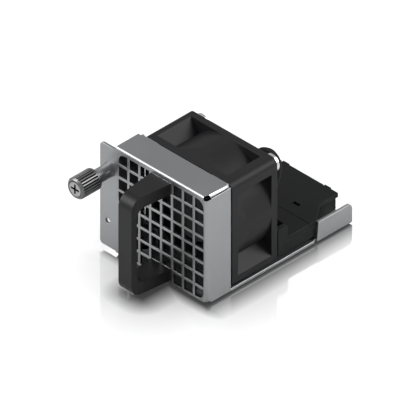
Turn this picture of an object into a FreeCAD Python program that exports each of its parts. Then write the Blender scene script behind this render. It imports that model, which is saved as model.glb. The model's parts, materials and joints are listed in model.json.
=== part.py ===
import FreeCAD, Part
import Sketcher
import math
import os
import re

# Hot-swappable fan module, in millimetres. X runs along the front panel with the ear on the
# low side, Y from the front panel to the rear plug, Z up. The origin is on the underside of
# the sheet tray, in the middle of its width and of its depth.
SIZES = {
    # Bent sheet tray, with the front panel, its ear and the flanges
    "sheet": 1.0,
    "tray_long": 67.0,
    "fan_side_in": 0.9,
    "fan_top_gap": 0.3,
    "flange_deep": 11.25,
    "top_flange_deep": 10.55,
    "flange_seam": 0.2,
    "flange_inset": 0.3,
    "bend_round": 0.9,
    "corner_relief": 1.1,
    "corner_relief_back": 0.9,
    "bend_notch_round": 0.55,
    "ear_wide": 7.1,
    "ear_low": 0.96,
    "ear_drop": 1.3,
    "ear_round": 1.4,
    "pin_hole_round": 1.0,
    "pin_hole_edge": 3.5,
    "pin_hole_up": 11.1,
    "rear_flange_long": 15.5,
    "rear_flange_high": 7.4,
    "rear_flange_slant": 0.7,
    "rear_flange_round": 2.0,
    # Grille of square holes in the front panel
    "grille_count": 8,
    "grille_drop": 0.2,
    "grille_rib": 1.0,
    "grille_round": 2.8,
    # Tabs that carry the fan, and the nuts pressed into them
    "tab_wide": 7.5,
    "tab_high": 8.4,
    "tab_gap": 1.1,
    "nut_round": 3.2,
    "nut_long": 4.1,
    "nut_seat_round": 2.1,
    # Square axial fan
    "fan_wide": 40.0,
    "fan_deep": 20.8,
    "fan_gap": 12.7,
    "fan_corner": 2.6,
    "fan_corner_small": 0.9,
    "fan_flange": 2.7,
    "post_near": 5.0,
    "post_far": 2.9,
    "duct_wall": 1.1,
    "duct_proud": 0.05,
    "duct_flare": 0.85,
    "duct_flare_long": 4.4,
    "inlet_bevel": 0.7,
    "fan_hole_edge": 4.0,
    "fan_hole_round": 1.6,
    "base_round": 12.0,
    "base_thick": 1.4,
    "strut_count": 4,
    "strut_wide": 2.2,
    "strut_thick": 2.6,
    "strut_angle": 60.0,
    "tube_wall": 0.8,
    "outlet_wall": 0.6,
    "outlet_long": 2.6,
    # Screws through the fan
    "screw_round": 1.5,
    "screw_head_round": 3.3,
    "screw_head_thick": 1.8,
    "screw_slot_deep": 0.9,
    "screw_slot_long": 3.9,
    "screw_slot_wide": 0.8,
    "screw_clear": 0.05,
    "head_clear": 0.2,
    # Rotor
    "shaft_round": 1.5,
    "shaft_play": 0.05,
    "shaft_end_gap": 0.2,
    "stop_gap": 0.1,
    "hub_round": 11.7,
    "hub_wall": 1.1,
    "hub_deep": 13.0,
    "hub_front_gap": 1.4,
    "blade_count": 7,
    "blade_thick": 0.9,
    "blade_edge": 0.54,
    "blade_chord": 12.0,
    "blade_camber": 1.3,
    "blade_root_pitch": 52.0,
    "blade_tip_pitch": 36.0,
    "blade_tip_gap": 0.6,
    "yoke_wall": 0.6,
    "magnet_wall": 1.1,
    "magnet_long": 7.0,
    "magnet_inset": 0.5,
    "spring_ring_wide": 0.7,
    "clip_wide": 1.0,
    "clip_thick": 0.4,
    # Motor
    "bearing_round": 3.0,
    "bearing_long": 2.5,
    "rear_bearing_in": 2.9,
    "core_round": 7.9,
    "core_long": 4.5,
    "core_body": 4.9,
    "core_rim": 1.0,
    "core_pole_wide": 2.5,
    "core_slot": 1.8,
    "coil_long": 7.5,
    "coil_wide": 4.2,
    "coil_gap": 0.2,
    "coil_rim_gap": 0.5,
    "board_round": 9.5,
    "board_thick": 0.8,
    # Pull handle
    "handle_reach": 16.55,
    "handle_bar": 2.5,
    "handle_low": 1.9,
    "handle_top_gap": 2.1,
    "handle_arm": 4.4,
    "handle_front_wide": 6.0,
    "handle_foot_wide": 9.1,
    "handle_round": 4.6,
    "handle_inner_round": 3.4,
    "insert_round": 2.1,
    "insert_long": 5.0,
    "handle_screw_head": 2.75,
    "handle_screw_head_thick": 1.6,
    # Captive thumbscrew in the ear
    "thumb_edge": 4.1,
    "thumb_down": 10.7,
    "knob_round": 3.95,
    "knob_long": 8.7,
    "knob_rest_gap": 6.9,
    "knob_collar": 0.9,
    "knob_flutes": 24,
    "knob_flute_round": 0.28,
    "knob_chamfer": 0.7,
    "knob_rear_chamfer": 0.35,
    "knob_bore": 2.7,
    "thumb_travel": 4.0,
    "captive_head_round": 2.6,
    "captive_head_thick": 1.3,
    "captive_head_gap": 0.2,
    "captive_slot_long": 3.7,
    "captive_slot_wide": 0.75,
    "sleeve_round": 2.5,
    "sleeve_base_round": 2.65,
    "sleeve_base_thick": 0.6,
    "sleeve_bore": 2.15,
    "sleeve_inside": 1.5,
    "sleeve_neck": 1.65,
    "sleeve_lip": 0.6,
    "thumb_washer": 0.4,
    "spring_wire": 0.2,
    "spring_flats": 8,
    "spring_turns": 6,
    # Rear plug housing
    "housing_high": 7.8,
    "housing_gap": 0.3,
    "plug_overhang": 0.5,
    "tail_long": 8.5,
    "waist_gap": 0.2,
    "split_ahead": 2.8,
    "deck_thick": 1.8,
    "housing_tail_wide": 27.8,
    "housing_wall": 1.3,
    "housing_inset": 0.9,
    "housing_end_inset": 0.2,
    "foot_high": 1.0,
    "foot_in": 0.9,
    "cover_round": 0.25,
    "housing_floor": 0.8,
    "lead_hole_left": 3.0,
    "lead_hole_right": 13.5,
    "lead_hole_long": 9.2,
    "rib_wide": 1.1,
    "rib_long": 4.9,
    "rib_high": 12.4,
    "rib_round": 1.2,
    "cover_seam": 0.1,
    "latch_slot_at": 8.7,
    "latch_slot_back": 4.5,
    "latch_slot_long": 3.0,
    "latch_slot_wide": 1.1,
    "latch_hook_long": 0.9,
    "latch_hook_wide": 0.45,
    "latch_tab_left": 10.1,
    "latch_tab_right": 9.0,
    "latch_tab_wide": 2.8,
    "latch_tab_out": 0.35,
    "latch_notch_wide": 0.4,
    "latch_notch_deep": 0.6,
    # Board and plugs inside the housing
    "board_gap": 0.6,
    "boss_round": 1.3,
    "pcb_thick": 1.0,
    "pcb_edge_gap": 0.3,
    "pcb_end_gap": 1.0,
    "socket_side_gap": 1.7,
    "socket_long": 9.0,
    "socket_top_gap": 0.05,
    "socket_wall": 1.0,
    "socket_back": 2.0,
    "socket_slot": 1.0,
    "contact_count": 10,
    "contact_step": 1.6,
    "contact_wide": 0.5,
    "contact_thick": 0.3,
    "contact_inset": 1.0,
    "header_tall": 1.0,
    "plug_at": 8.8,
    "plug_wide": 5.0,
    "plug_long": 4.0,
    "plug_tall": 1.6,
    "plug_margin": 0.25,
    "lead_round": 1.2,
    "lead_turn_up": 11.4,
}

# Sizes that follow from others, as formulas in the same sheet
DERIVED = {
    "tray_wide": "fan_wide + 2 * fan_side_in",
    "panel_high": "2 * sheet + fan_wide + fan_top_gap",
    "ear_high": "panel_high - ear_drop",
    "grille_step": "fan_wide / grille_count",
    "grille_up": "sheet + fan_wide / 2 - grille_drop",
    "window_near": "fan_wide / 2 - post_near",
    "window_far": "fan_wide / 2 - post_far",
    "duct_bore": "fan_wide / 2 - duct_wall",
    "duct_round": "fan_wide / 2 + duct_proud",
    "handle_high": "panel_high - handle_top_gap",
    "thumb_up": "panel_high - thumb_down",
    "socket_wide": "housing_tail_wide - 2 * (housing_inset + housing_wall + socket_side_gap)",
}

doc = FreeCAD.newDocument("fan_module")
sizes = doc.addObject("Spreadsheet::Sheet", "sizes")
for row, alias in enumerate([*SIZES, *DERIVED], 1):
    sizes.set(f"A{row}", alias.replace("_", " "))
    sizes.set(f"B{row}", str(SIZES.get(alias, 0)))
    sizes.setAlias(f"B{row}", alias)
for row, text in enumerate(DERIVED.values(), len(SIZES) + 1):
    sizes.set(f"B{row}", "=" + text)
doc.recompute()
nodes = []


def formula(text):
    """The text with each size's name pointing at its cell of the sheet."""
    names = {*SIZES, *DERIVED}
    return re.sub(r"[a-z_]+", lambda word: "sizes." + word[0] if word[0] in names else word[0], str(text))


def value(text):
    """The number that a formula of sizes comes to."""
    return float(sizes.evalExpression(formula(text)))


def place(x, y, z):
    """A point from three formulas."""
    return FreeCAD.Vector(value(x), value(y), value(z))


def node(label, item):
    """Names a finished piece and keeps it for writing."""
    item.Label = label
    nodes.append(item)
    return item


# Places that several pieces share
FRONT = "(-tray_long / 2)"
PANEL_BACK = f"({FRONT} + sheet)"
FLANGE_END = f"({FRONT} + flange_deep)"
TOP_END = f"({FRONT} + top_flange_deep)"
REAR = "(tray_long / 2)"
SIDE = "(tray_wide / 2)"
FAN_FRONT = f"({FRONT} + fan_gap)"
FAN_REAR = f"({FAN_FRONT} + fan_deep)"
FAN_UP = "(sheet + fan_wide / 2)"
HOLE_OFF = "(fan_wide / 2 - fan_hole_edge)"
THUMB_X = f"(-{SIDE} - ear_wide + thumb_edge)"
# How far a cut runs on past the surface that it opens
BEYOND = "2"

# Points of the motor's lead from its outlet to above its plug, measured from the middle of the
# fan's rear face
LEAD_ROUTE = [
    (6.3, 1.25, 10.9),
    (9.8, 2.6, 16.6),
    (14.2, 3.2, 17.3),
    (17.2, 3.2, 15.5),
    (16.8, 3.3, 11.2),
    (14.7, 3.7, 4.4),
    (11.9, 4.7, -2.8),
]


# Helpers for bodies with sketches
def new_body(name):
    return doc.addObject("PartDesign::Body", name)


def new_sketch(body, plane, offset):
    """Sketch on a plane of the body's origin, moved along the plane's normal."""
    made = body.newObject("Sketcher::SketchObject", body.Name + "_sketch")
    face = next(item for item in body.Origin.OriginFeatures if item.Role == plane + "_Plane")
    made.AttachmentSupport = [(face, "")]
    made.MapMode = "FlatFace"
    made.setExpression(".AttachmentOffset.Base.z", formula(offset))
    return made


def tie(sketch, kind, *target):
    """Adds a dimension to the sketch and binds it to the formula that comes last."""
    text = target[-1]
    index = sketch.addConstraint(Sketcher.Constraint(kind, *target[:-1], value(text)))
    sketch.setExpression(f"Constraints[{index}]", formula(text))


def add_outline(sketch, corners):
    """Closed outline with straight sides through the corners, each a pair of formulas."""
    points = [FreeCAD.Vector(value(a), value(b), 0) for a, b in corners]
    first = sketch.GeometryCount
    count = len(points)
    for i in range(count):
        sketch.addGeometry(Part.LineSegment(points[i], points[(i + 1) % count]), False)
    for i in range(count):
        sketch.addConstraint(Sketcher.Constraint("Coincident", first + i, 2, first + (i + 1) % count, 1))
    for i, (a, b) in enumerate(corners):
        tie(sketch, "DistanceX", -1, 1, first + i, 1, a)
        tie(sketch, "DistanceY", -1, 1, first + i, 1, b)


def add_circle(sketch, a, b, radius):
    """Circle about the point of two formulas."""
    centre = FreeCAD.Vector(value(a), value(b), 0)
    index = sketch.addGeometry(Part.Circle(centre, FreeCAD.Vector(0, 0, 1), value(radius)), False)
    tie(sketch, "DistanceX", -1, 1, index, 3, a)
    tie(sketch, "DistanceY", -1, 1, index, 3, b)
    tie(sketch, "Radius", index, radius)


def rectangle(a_low, b_low, a_high, b_high):
    return [(a_low, b_low), (a_high, b_low), (a_high, b_high), (a_low, b_high)]


def slab(body, plane, low, high, outlines=(), circles=(), cuts=False):
    """Pads the outlines and circles of a plane from low to high, or cuts them out of the body."""
    if plane == "XZ":
        offset = f"0 - ({low})" if cuts else f"0 - ({high})"
    else:
        offset = high if cuts else low
    sketch = new_sketch(body, plane, offset)
    for corners in outlines:
        add_outline(sketch, corners)
    for a, b, radius in circles:
        add_circle(sketch, a, b, radius)
    kind = "Pocket" if cuts else "Pad"
    made = body.newObject("PartDesign::" + kind, body.Name + "_" + kind.lower())
    made.Profile = sketch
    made.setExpression("Length", formula(f"({high}) - ({low})"))
    return made


def turned(label, corners, x="0", z="0"):
    """Body turned about a line along Y: each corner is a radius and a place along the line."""
    body = new_body(label)
    sketch = new_sketch(body, "XY", "0")
    add_outline(sketch, corners)
    made = body.newObject("PartDesign::Revolution", label + "_turn")
    made.Profile = sketch
    made.ReferenceAxis = (sketch, ["V_Axis"])
    made.Angle = 360
    body.setExpression(".Placement.Base.x", formula(x))
    body.setExpression(".Placement.Base.z", formula(z))
    return body


def round_edges(body, radius, points, kind="Fillet"):
    """Rounds, or chamfers, the edges that pass through the points."""
    doc.recompute()
    tip = body.Tip
    names = []
    for point in points:
        mark = Part.Vertex(point)
        for i, edge in enumerate(tip.Shape.Edges, 1):
            if edge.distToShape(mark)[0] < 1e-4 and f"Edge{i}" not in names:
                names.append(f"Edge{i}")
    made = body.newObject("PartDesign::" + kind, body.Name + "_" + kind.lower())
    made.Base = (tip, names)
    made.setExpression("Radius" if kind == "Fillet" else "Size", formula(radius))
    return made


# Helpers for plain solids and their sums and differences
def box(name, low, high):
    """Block between two corners, each three formulas."""
    made = doc.addObject("Part::Box", name)
    for side, axis, a, b in zip(("Length", "Width", "Height"), "xyz", low, high):
        made.setExpression(side, formula(f"({b}) - ({a})"))
        made.setExpression(".Placement.Base." + axis, formula(a))
    return made


def rod(name, radius, low, high, x, z):
    """Round bar along Y from low to high."""
    made = doc.addObject("Part::Cylinder", name)
    made.Placement.Rotation = FreeCAD.Rotation(FreeCAD.Vector(1, 0, 0), -90)
    made.setExpression("Radius", formula(radius))
    made.setExpression("Height", formula(f"({high}) - ({low})"))
    for axis, text in zip("xyz", (x, low, z)):
        made.setExpression(".Placement.Base." + axis, formula(text))
    return made


def cone(name, radius_low, radius_high, low, high, x, z):
    """Cone along Y from low to high."""
    made = doc.addObject("Part::Cone", name)
    made.Placement.Rotation = FreeCAD.Rotation(FreeCAD.Vector(1, 0, 0), -90)
    made.setExpression("Radius1", formula(radius_low))
    made.setExpression("Radius2", formula(radius_high))
    made.setExpression("Height", formula(f"({high}) - ({low})"))
    for axis, text in zip("xyz", (x, low, z)):
        made.setExpression(".Placement.Base." + axis, formula(text))
    return made


def joined(name, *items):
    made = doc.addObject("Part::MultiFuse", name)
    made.Shapes = list(items)
    made.Refine = True
    return made


def less(name, base, *tools):
    """The base with the tools taken away."""
    made = doc.addObject("Part::Cut", name)
    made.Base = base
    made.Tool = tools[0] if len(tools) == 1 else joined(name + "_tools", *tools)
    made.Refine = True
    return made


def shaped(name, shape):
    """Solid whose form is worked out from the sheet by the code beside it."""
    made = doc.addObject("Part::Feature", name)
    made.Shape = shape
    return made


def ring(name, outer, inner, low, high, x, z):
    """Tube along Y."""
    body = rod(name + "_body", outer, low, high, x, z)
    return less(name, body, rod(name + "_bore", inner, low, high, x, z))


# Tray: one bent steel sheet with floor, front panel and ear, flanges and tabs
FLOOR_SIDE = f"({SIDE} - sheet - flange_seam / 2)"
EAR_LEFT = f"(-{SIDE} - ear_wide)"
TOP_UNDER = "(panel_high - sheet)"
TOP_RIGHT = f"({SIDE} - flange_inset)"
RIGHT_TOP = f"({TOP_UNDER} - flange_seam)"
REAR_FLANGE = f"({REAR} - rear_flange_long)"
TAB_BACK = f"({FAN_FRONT} - tab_gap)"
TAB_FRONT = f"({TAB_BACK} - sheet)"
TAB_IN = f"({HOLE_OFF} - tab_wide / 2)"
TAB_OUT = f"({HOLE_OFF} + tab_wide / 2)"
GRILLE_HALF = "(grille_count * grille_step / 2 - grille_rib / 2)"
GRILLE_LOW = f"(grille_up - {GRILLE_HALF})"
GRILLE_HIGH = f"(grille_up + {GRILLE_HALF})"
HANDLE_ARMS = ("(handle_low + handle_arm / 2)", "(handle_high - handle_arm / 2)")

tray = new_body("tray")
slab(tray, "XY", "0", "sheet", [[
    (f"-{SIDE}", FRONT),
    (FLOOR_SIDE, FRONT),
    (FLOOR_SIDE, FLANGE_END),
    (SIDE, FLANGE_END),
    (SIDE, REAR),
    (f"-{SIDE}", REAR),
]])
slab(tray, "XZ", FRONT, PANEL_BACK, [[
    (EAR_LEFT, "ear_low"),
    (f"-{SIDE}", "ear_low"),
    (f"-{SIDE}", "0"),
    (SIDE, "0"),
    (SIDE, RIGHT_TOP),
    (TOP_RIGHT, RIGHT_TOP),
    (TOP_RIGHT, "panel_high"),
    (f"-{SIDE}", "panel_high"),
    (f"-{SIDE}", "ear_high"),
    (EAR_LEFT, "ear_high"),
]])
slab(tray, "XY", TOP_UNDER, "panel_high", [rectangle(f"-{SIDE}", FRONT, TOP_RIGHT, TOP_END)])
slab(tray, "YZ", f"{SIDE} - sheet", SIDE, [rectangle(FRONT, "flange_seam", FLANGE_END, RIGHT_TOP)])
slab(tray, "YZ", f"-{SIDE}", f"sheet - {SIDE}", [
    rectangle(f"{PANEL_BACK} + flange_seam", "0", FLANGE_END, RIGHT_TOP),
])
for low, high in ((f"{SIDE} - sheet", SIDE), (f"-{SIDE}", f"sheet - {SIDE}")):
    slab(tray, "YZ", low, high, [[
        (f"{REAR_FLANGE} - rear_flange_slant", "0"),
        (REAR, "0"),
        (REAR, "rear_flange_high"),
        (REAR_FLANGE, "rear_flange_high"),
    ]])
for low, high in ((TAB_IN, TAB_OUT), (f"-{TAB_OUT}", f"-{TAB_IN}")):
    slab(tray, "XY", TOP_UNDER, "panel_high", [rectangle(low, f"{TOP_END} - sheet", high, TAB_BACK)])
    slab(tray, "XZ", TAB_FRONT, TAB_BACK, [
        rectangle(low, "panel_high - tab_high - sheet", high, "panel_high"),
        rectangle(low, "0", high, "tab_high"),
    ])
    slab(tray, "XY", "0", "sheet", [
        rectangle(low, f"{TAB_FRONT} - tab_high", high, TAB_FRONT),
    ], cuts=True)
slab(tray, "XZ", TAB_FRONT, TAB_BACK, circles=[
    (f"{side}{HOLE_OFF}", f"{FAN_UP} {up} {HOLE_OFF}", "nut_seat_round")
    for side in ("", "-")
    for up in ("+", "-")
], cuts=True)
for low, high in ((TOP_UNDER, "panel_high"), ("0", "sheet")):
    slab(tray, "XY", low, high, circles=[
        (TOP_RIGHT, f"{FRONT} + corner_relief_back", "corner_relief"),
    ], cuts=True)
slab(tray, "XY", "0", "sheet", circles=[
    (side, f"{REAR_FLANGE} - rear_flange_slant - bend_notch_round", "bend_notch_round")
    for side in (SIDE, f"-{SIDE}")
], cuts=True)
round_edges(tray, "bend_round", [
    place("0", FRONT, "panel_high"),
    place(SIDE, FRONT, "grille_up"),
    place("0", FRONT, "0"),
    place(HOLE_OFF, TAB_BACK, "panel_high"),
    place(f"-{HOLE_OFF}", TAB_BACK, "panel_high"),
])
round_edges(tray, "ear_round", [
    place(EAR_LEFT, f"{FRONT} + sheet / 2", "ear_low"),
    place(EAR_LEFT, f"{FRONT} + sheet / 2", "ear_high"),
])
round_edges(tray, "rear_flange_round", [
    place(f"{SIDE} - sheet / 2", REAR, "rear_flange_high"),
    place(f"sheet / 2 - {SIDE}", REAR, "rear_flange_high"),
])
grille_hole = slab(tray, "XZ", FRONT, PANEL_BACK, [rectangle(
    f"-{GRILLE_HALF}",
    GRILLE_LOW,
    f"grille_step - grille_rib - {GRILLE_HALF}",
    f"{GRILLE_LOW} + grille_step - grille_rib",
)], cuts=True)
grille = tray.newObject("PartDesign::MultiTransform", "grille")
rows = []
for name, axis in (("grille_across", "H_Axis"), ("grille_upward", "V_Axis")):
    pattern = tray.newObject("PartDesign::LinearPattern", name)
    pattern.Direction = (grille_hole.Profile[0], [axis])
    pattern.setExpression("Length", formula("grille_step * (grille_count - 1)"))
    pattern.setExpression("Occurrences", formula("grille_count"))
    rows.append(pattern)
grille.Originals = [grille_hole]
grille.Transformations = rows
tray.Tip = grille
round_edges(tray, "grille_round", [
    place(side, f"{FRONT} + sheet / 2", up)
    for side in (f"-{GRILLE_HALF}", GRILLE_HALF)
    for up in (GRILLE_LOW, GRILLE_HIGH)
])
slab(tray, "XZ", FRONT, PANEL_BACK, [
    rectangle("-handle_foot_wide / 2", f"{arm} - handle_arm / 2",
              "handle_foot_wide / 2", f"{arm} + handle_arm / 2")
    for arm in HANDLE_ARMS
])
slab(tray, "XZ", FRONT, PANEL_BACK, circles=[
    (f"{EAR_LEFT} + pin_hole_edge", "pin_hole_up", "pin_hole_round"),
    (THUMB_X, "thumb_up", "nut_seat_round"),
    ("0", HANDLE_ARMS[0], "screw_round + screw_clear"),
    ("0", HANDLE_ARMS[1], "screw_round + screw_clear"),
], cuts=True)
node("tray", tray)

# Nuts pressed into the four tabs, one for each screw of the fan, which stands off on their collars
nuts = []
for i in range(4):
    x = HOLE_OFF if i % 2 else f"(-{HOLE_OFF})"
    z = f"({FAN_UP} {'+' if i > 1 else '-'} {HOLE_OFF})"
    nuts.append(less(
        f"nut_{i}",
        joined(
            f"nut_blank_{i}",
            rod(f"nut_body_{i}", "nut_round", f"{TAB_FRONT} - nut_long + sheet", TAB_FRONT, x, z),
            rod(f"nut_seat_{i}", "nut_seat_round", TAB_FRONT, FAN_FRONT, x, z),
        ),
        rod(f"nut_bore_{i}", "screw_round + screw_clear", f"{TAB_FRONT} - nut_long", FAN_REAR, x, z),
    ))
pressed_nuts = doc.addObject("Part::Compound", "pressed_nuts")
pressed_nuts.Links = nuts
node("clinch_nuts", pressed_nuts)

# Long screws that hold the fan to the tabs, with flat round heads behind the fan
screws = []
for i in range(4):
    x = HOLE_OFF if i % 2 else f"(-{HOLE_OFF})"
    z = f"({FAN_UP} {'+' if i > 1 else '-'} {HOLE_OFF})"
    head_end = f"({FAN_REAR} + screw_head_thick)"
    arm = "(screw_slot_long / 2)"
    edge = "(screw_slot_wide / 2)"
    screws.append(less(
        f"screw_{i}",
        joined(
            f"screw_blank_{i}",
            rod(f"screw_shank_{i}", "screw_round", f"{TAB_FRONT} - nut_long + sheet", FAN_REAR, x, z),
            rod(f"screw_head_{i}", "screw_head_round", FAN_REAR, head_end, x, z),
        ),
        box(
            f"screw_cross_{i}",
            (f"{x} - {arm}", f"{head_end} - screw_slot_deep", f"{z} - {edge}"),
            (f"{x} + {arm}", f"{head_end} + {BEYOND}", f"{z} + {edge}"),
        ),
        box(
            f"screw_cross_up_{i}",
            (f"{x} - {edge}", f"{head_end} - screw_slot_deep", f"{z} - {arm}"),
            (f"{x} + {edge}", f"{head_end} + {BEYOND}", f"{z} + {arm}"),
        ),
    ))
fan_screws = doc.addObject("Part::Compound", "screw_set")
fan_screws.Links = screws
node("fan_screws", fan_screws)

# Fan frame: square flanges and corner posts around a round duct, with a motor base on struts
frame_blank = new_body("frame_blank")
slab(frame_blank, "XZ", FAN_FRONT, FAN_REAR, [
    rectangle("-fan_wide / 2", "sheet", "fan_wide / 2", "sheet + fan_wide"),
])
fan_middle = f"{FAN_FRONT} + fan_deep / 2"
round_edges(frame_blank, "fan_corner", [place("fan_wide / 2", fan_middle, "sheet + fan_wide")])
round_edges(frame_blank, "fan_corner_small", [
    place("-fan_wide / 2", fan_middle, "sheet + fan_wide"),
    place("-fan_wide / 2", fan_middle, "sheet"),
    place("fan_wide / 2", fan_middle, "sheet"),
])
window_low = f"({FAN_FRONT} + fan_flange)"
window_high = f"({FAN_REAR} - fan_flange)"


def window_slab(name, start, end):
    """Wedge between two lines from the axis through points on the frame's outline."""
    body = new_body(name)
    inside = 0.5
    outside = 1.3
    slab(body, "XZ", window_low, window_high, [[
        (f"({across}) * {share}", f"{FAN_UP} + ({up}) * {share}")
        for (across, up), share in ((start, inside), (start, outside), (end, outside), (end, inside))
    ]])
    return body


half_fan = "fan_wide / 2"
windows = less(
    "frame_windows",
    joined(
        "window_slabs",
        window_slab("window_top", ("-window_far", half_fan), ("window_near", half_fan)),
        window_slab("window_right", (half_fan, "window_near"), (half_fan, "-window_far")),
        window_slab("window_under", ("window_far", f"-{half_fan}"), ("-window_far", f"-{half_fan}")),
        window_slab("window_left", (f"-{half_fan}", "-window_far"), (f"-{half_fan}", "window_far")),
    ),
    rod("duct_outside", "duct_round", FAN_FRONT, FAN_REAR, "0", FAN_UP),
    cone("duct_front_flare", "duct_round + duct_flare", "duct_round", window_low,
         f"{window_low} + duct_flare_long", "0", FAN_UP),
)
base_front = f"({FAN_REAR} - base_thick)"
tube_round = "(bearing_round + tube_wall)"
tube_front = f"({FAN_FRONT} + hub_front_gap + hub_wall + bearing_long)"
tube_floor = f"({FAN_REAR} - base_thick / 2)"
frame_open = less(
    "frame_open",
    frame_blank,
    windows,
    rod("duct_bore_cut", "duct_bore", f"{FAN_FRONT} - {BEYOND}", f"{FAN_REAR} + {BEYOND}", "0", FAN_UP),
    cone("inlet_bevel_cut", "duct_bore + inlet_bevel", "duct_bore",
         FAN_FRONT, f"{FAN_FRONT} + inlet_bevel", "0", FAN_UP),
    *[
        rod(f"frame_hole_{i}", "fan_hole_round", f"{FAN_FRONT} - {BEYOND}", f"{FAN_REAR} + {BEYOND}",
            HOLE_OFF if i % 2 else f"(-{HOLE_OFF})", f"({FAN_UP} {'+' if i > 1 else '-'} {HOLE_OFF})")
        for i in range(4)
    ],
)
struts = []
for i in range(int(value("strut_count"))):
    strut = doc.addObject("Part::Box", f"strut_{i}")
    strut.setExpression("Length", formula("(duct_bore + fan_wide / 2) / 2 - (base_round - strut_wide / 2)"))
    strut.setExpression("Width", formula("strut_thick"))
    strut.setExpression("Height", formula("strut_wide"))
    turn = FreeCAD.Rotation(FreeCAD.Vector(0, 1, 0), -value(f"strut_angle + 360 * {i} / strut_count"))
    start = turn.multVec(place("base_round - strut_wide / 2", "0", "-strut_wide / 2"))
    strut.Placement = FreeCAD.Placement(start + place("0", f"{FAN_REAR} - strut_thick", FAN_UP), turn)
    struts.append(strut)
lead_points = [FreeCAD.Vector(*point) + place("0", FAN_REAR, FAN_UP) for point in LEAD_ROUTE]
outlet_way = (lead_points[1] - lead_points[0]).normalize()
outlet_turn = FreeCAD.Rotation(FreeCAD.Vector(0, 0, 1), outlet_way)
lead_outlet = doc.addObject("Part::Cylinder", "lead_outlet")
lead_outlet.setExpression("Radius", formula("lead_round + outlet_wall"))
lead_outlet.setExpression("Height", formula("outlet_long"))
outlet_start = lead_points[0] - outlet_way * value("outlet_long / 2")
lead_outlet.Placement = FreeCAD.Placement(outlet_start, outlet_turn)
lead_bore = doc.addObject("Part::Cylinder", "lead_outlet_bore")
lead_bore.setExpression("Radius", formula("lead_round + shaft_play"))
lead_bore.setExpression("Height", formula("outlet_long"))
lead_bore.Placement = FreeCAD.Placement(lead_points[0], outlet_turn)
fan_frame = less(
    "fan_frame",
    joined(
        "frame_with_base",
        lead_outlet,
        frame_open,
        rod("motor_base", "base_round", base_front, FAN_REAR, "0", FAN_UP),
        rod("bearing_tube", tube_round, tube_front, FAN_REAR, "0", FAN_UP),
        *struts,
    ),
    rod("tube_bore", "bearing_round", f"{tube_front} - {BEYOND}", tube_floor, "0", FAN_UP),
    lead_bore,
)
node("fan_frame", fan_frame)

# Impeller: moulded hub cup with curved blades
hub_front = f"({FAN_FRONT} + hub_front_gap)"
hub_rear = f"({hub_front} + hub_deep)"
hub_inner = "(hub_round - hub_wall)"
yoke_inner = f"({hub_inner} - yoke_wall)"
magnet_inner = f"({yoke_inner} - magnet_wall)"


def blade_section(radius, pitch):
    """Crescent section of a blade at one distance from the axis, as a closed wire."""
    half = value("blade_chord") / 2
    camber = value("blade_camber")
    thick = value("blade_thick")
    edge = value("blade_edge")
    angle = math.radians(pitch)
    middle = value(f"({hub_front} + {hub_rear}) / 2")

    def point(along, off):
        across = along * math.cos(angle) - off * math.sin(angle)
        back = along * math.sin(angle) + off * math.cos(angle)
        return FreeCAD.Vector(radius, middle + back, value(FAN_UP) + across)

    front = Part.Arc(point(-half, 0), point(0, camber), point(half, 0)).toShape()
    back = Part.Arc(point(half, edge), point(0, camber + thick), point(-half, edge)).toShape()
    nose = Part.LineSegment(point(half, 0), point(half, edge)).toShape()
    tail = Part.LineSegment(point(-half, edge), point(-half, 0)).toShape()
    return Part.Wire([front, nose, back, tail])


def impeller_shape():
    """Hub cup and blades in one moulding."""
    axis_low = place("0", hub_front, FAN_UP)
    along = FreeCAD.Vector(0, 1, 0)
    cup = Part.makeCylinder(value("hub_round"), value("hub_deep"), axis_low, along)
    hollow = Part.makeCylinder(
        value(hub_inner),
        value("hub_deep"),
        axis_low + FreeCAD.Vector(0, value("hub_wall"), 0),
        along,
    )
    shaft_hole = Part.makeCylinder(value("shaft_round"), value("hub_deep"), axis_low, along)
    tip = value("duct_bore - blade_tip_gap")
    sweep = Part.makeCylinder(tip, value("fan_deep"), place("0", FAN_FRONT, FAN_UP), along)
    blade = Part.makeLoft([
        blade_section(value(hub_inner), value("blade_root_pitch")),
        blade_section(value("duct_bore"), value("blade_tip_pitch")),
    ], True, True)
    blade = blade.common(sweep)
    count = int(value("blade_count"))
    blades = []
    for i in range(count):
        turned_blade = blade.copy()
        turned_blade.rotate(axis_low, along, i * 360 / count)
        blades.append(turned_blade)
    return cup.fuse(blades).cut(hollow).cut(shaft_hole).removeSplitter()


node("impeller", shaped("impeller", impeller_shape()))

# Steel cup and ring magnet inside the hub
yoke_front = f"({hub_front} + hub_wall)"
node("rotor_yoke", turned("rotor_yoke", [
    ("shaft_round", yoke_front),
    (hub_inner, yoke_front),
    (hub_inner, hub_rear),
    (yoke_inner, hub_rear),
    (yoke_inner, f"{yoke_front} + yoke_wall"),
    ("shaft_round", f"{yoke_front} + yoke_wall"),
], z=FAN_UP))
magnet_rear = f"({hub_rear} - magnet_inset)"
node("rotor_magnet", ring(
    "rotor_magnet", yoke_inner, magnet_inner, f"{magnet_rear} - magnet_long", magnet_rear, "0", FAN_UP,
))

# Shaft pressed into the hub, running in two bearings
bearing_end = f"({FAN_REAR} - rear_bearing_in)"
node("fan_shaft", rod("fan_shaft", "shaft_round", hub_front, f"{tube_floor} - shaft_end_gap", "0", FAN_UP))
for name, low in (("front_bearing", tube_front), ("rear_bearing", f"({bearing_end} - bearing_long)")):
    high = f"{low} + bearing_long"
    node(name, ring(name, "bearing_round", "shaft_round + shaft_play", low, high, "0", FAN_UP))

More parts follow.
